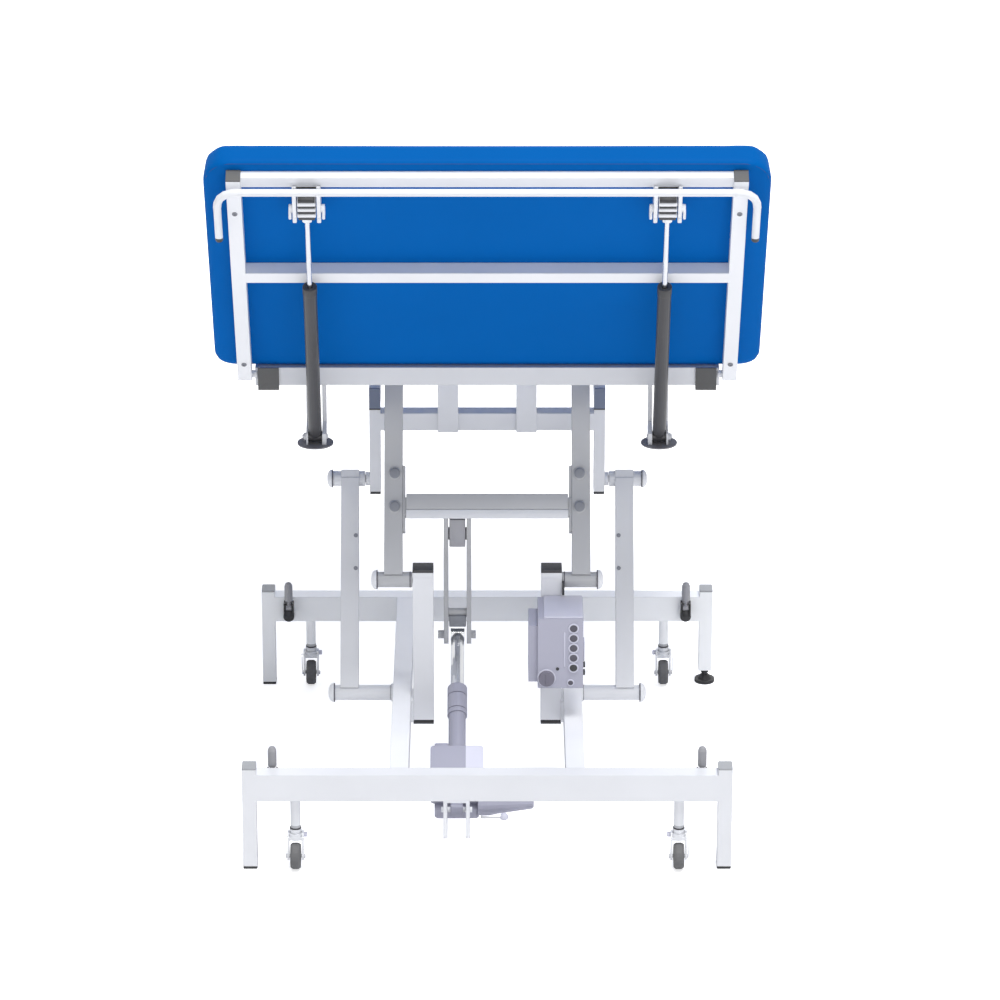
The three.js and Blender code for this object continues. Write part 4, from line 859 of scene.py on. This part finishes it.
def cushion(half, y, thick, corners, bottom, swell, voxel):
    """A sewn cushion lying flat on its board: a rounded block that is remeshed and blown up as cloth.

    The block starts a little wider and thinner than the cushion, because smoothing draws its sides in
    and the cloth swells its top.
    """
    bpy.ops.object.select_all(action="DESELECT")
    fuller = 0.0018
    thinner = thick - 0.002
    middle_y = (y[0] + y[1]) / 2
    bpy.ops.mesh.primitive_cube_add(
        size=1.0,
        location=(0.0, middle_y, bottom + thinner / 2),
        scale=(2 * (half + fuller), y[1] - y[0] + 2 * fuller, thinner),
    )
    pad = bpy.context.object
    bpy.ops.object.transform_apply(location=True, rotation=True, scale=True)
    for side, corner in zip((-1, 1), corners):
        pick_edges(pad, lambda a, b: abs(a.z - b.z) > thick / 2 and (a.y - middle_y) * side > 0.1)
        bpy.ops.mesh.bevel(offset=corner, segments=10, affect="EDGES")
        bpy.ops.object.mode_set(mode="OBJECT")
    pick_edges(pad, lambda a, b: min(a.z, b.z) > bottom + thick / 2)
    bpy.ops.mesh.bevel(offset=0.010, segments=5, affect="EDGES")
    pick_edges(pad, lambda a, b: max(a.z, b.z) < bottom + 0.001)
    bpy.ops.mesh.bevel(offset=0.006, segments=2, affect="EDGES")
    bpy.ops.object.mode_set(mode="OBJECT")
    pad.data.remesh_voxel_size = voxel
    pad.data.remesh_voxel_adaptivity = 0.0
    bpy.ops.object.voxel_remesh()
    board = pad.vertex_groups.new(name="board")
    board.add([v.index for v in pad.data.vertices if v.co.z < bottom + 0.012], 1.0, "REPLACE")
    started = [v.co.copy() for v in pad.data.vertices]
    cloth = pad.modifiers.new("cloth", "CLOTH")
    cloth.settings.quality = 2
    cloth.settings.mass = 0.02
    cloth.settings.tension_stiffness = 25.0
    cloth.settings.compression_stiffness = 25.0
    cloth.settings.bending_stiffness = 2.0
    cloth.settings.use_pressure = True
    cloth.settings.uniform_pressure_force = 20.0
    cloth.settings.effector_weights.gravity = 0.0
    cloth.settings.vertex_group_mass = "board"
    for step in range(1, 21):
        bpy.context.scene.frame_set(step)
    bpy.ops.object.modifier_apply(modifier="cloth")
    bpy.context.scene.frame_set(1)
    for vertex, before in zip(pad.data.vertices, started):
        moved = vertex.co - before
        if moved.length > 1e-6:
            vertex.co = before + moved.normalized() * swell * math.tanh(moved.length / 0.03)
    pad.vertex_groups.clear()
    ease = pad.modifiers.new("ease", "SMOOTH")
    ease.iterations = 6
    ease.factor = 0.5
    bpy.ops.object.modifier_apply(modifier="ease")
    fine = pad.modifiers.new("fine", "SUBSURF")
    fine.levels = 1
    fine.render_levels = 1
    bpy.ops.object.modifier_apply(modifier="fine")
    return pad


def welt(half, y, corners, height, radius):
    """The stitched seam that runs round a cushion at a height."""
    bpy.ops.object.select_all(action="DESELECT")
    bpy.ops.mesh.primitive_plane_add(size=1.0, location=(0.0, (y[0] + y[1]) / 2, height))
    line = bpy.context.object
    line.scale = (2 * half, y[1] - y[0], 1.0)
    bpy.ops.object.transform_apply(location=True, rotation=True, scale=True)
    middle = (y[0] + y[1]) / 2
    for side, corner in zip((-1, 1), corners):
        bpy.ops.object.mode_set(mode="EDIT")
        bpy.ops.mesh.select_mode(type="VERT")
        bpy.ops.mesh.select_all(action="DESELECT")
        bpy.ops.object.mode_set(mode="OBJECT")
        for vertex in line.data.vertices:
            vertex.select = (vertex.co.y - middle) * side > (y[1] - y[0]) / 2 - 0.001
        bpy.ops.object.mode_set(mode="EDIT")
        bpy.ops.mesh.bevel(offset=corner, segments=10, affect="VERTICES")
    bpy.ops.mesh.select_all(action="SELECT")
    bpy.ops.mesh.delete(type="ONLY_FACE")
    bpy.ops.object.mode_set(mode="OBJECT")
    bpy.ops.object.convert(target="CURVE")
    line = bpy.context.object
    line.data.bevel_depth = radius
    line.data.bevel_resolution = 2
    bpy.ops.object.convert(target="MESH")
    return bpy.context.object


PAD_HALF = 0.582
PAD_THICK = 0.066
SWELL = 0.007
SEAM_IN = 0.004
SEAM_RADIUS = 0.0011
seat_low, seat_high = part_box("seat_pad")
seat_y = (seat_low.y, seat_high.y)
seat = cushion(
    PAD_HALF, seat_y, PAD_THICK, corners=(0.040, 0.060), bottom=seat_low.z, swell=SWELL, voxel=0.012
)
settle(seat, "seat_cushion", vinyl, "upper_frame")
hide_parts("seat_pad")
seam_y = (seat_y[0] + SEAM_IN, seat_y[1] - SEAM_IN)
seat_seam = welt(
    PAD_HALF - SEAM_IN, seam_y, corners=(0.036, 0.056), height=seat_low.z + SEAM_IN, radius=SEAM_RADIUS
)
settle(seat_seam, "seat_seam", seam_blue, "upper_frame")

back_y = (HINGE.y - 0.656, HINGE.y - 0.0080)
back_bottom = HINGE.z + 0.0153
back = cushion(
    PAD_HALF, back_y, PAD_THICK, corners=(0.060, 0.040), bottom=back_bottom, swell=SWELL, voxel=0.009
)
lean(back, -BACK_ANGLE, HINGE)
settle(back, "backrest_cushion", vinyl, "backrest")
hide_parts("backrest_pad")
seam_y = (back_y[0] + SEAM_IN, back_y[1] - SEAM_IN)
back_seam = welt(
    PAD_HALF - SEAM_IN, seam_y, corners=(0.056, 0.036), height=back_bottom + SEAM_IN, radius=SEAM_RADIUS
)
lean(back_seam, -BACK_ANGLE, HINGE)
settle(back_seam, "backrest_seam", seam_blue, "backrest")

low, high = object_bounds()
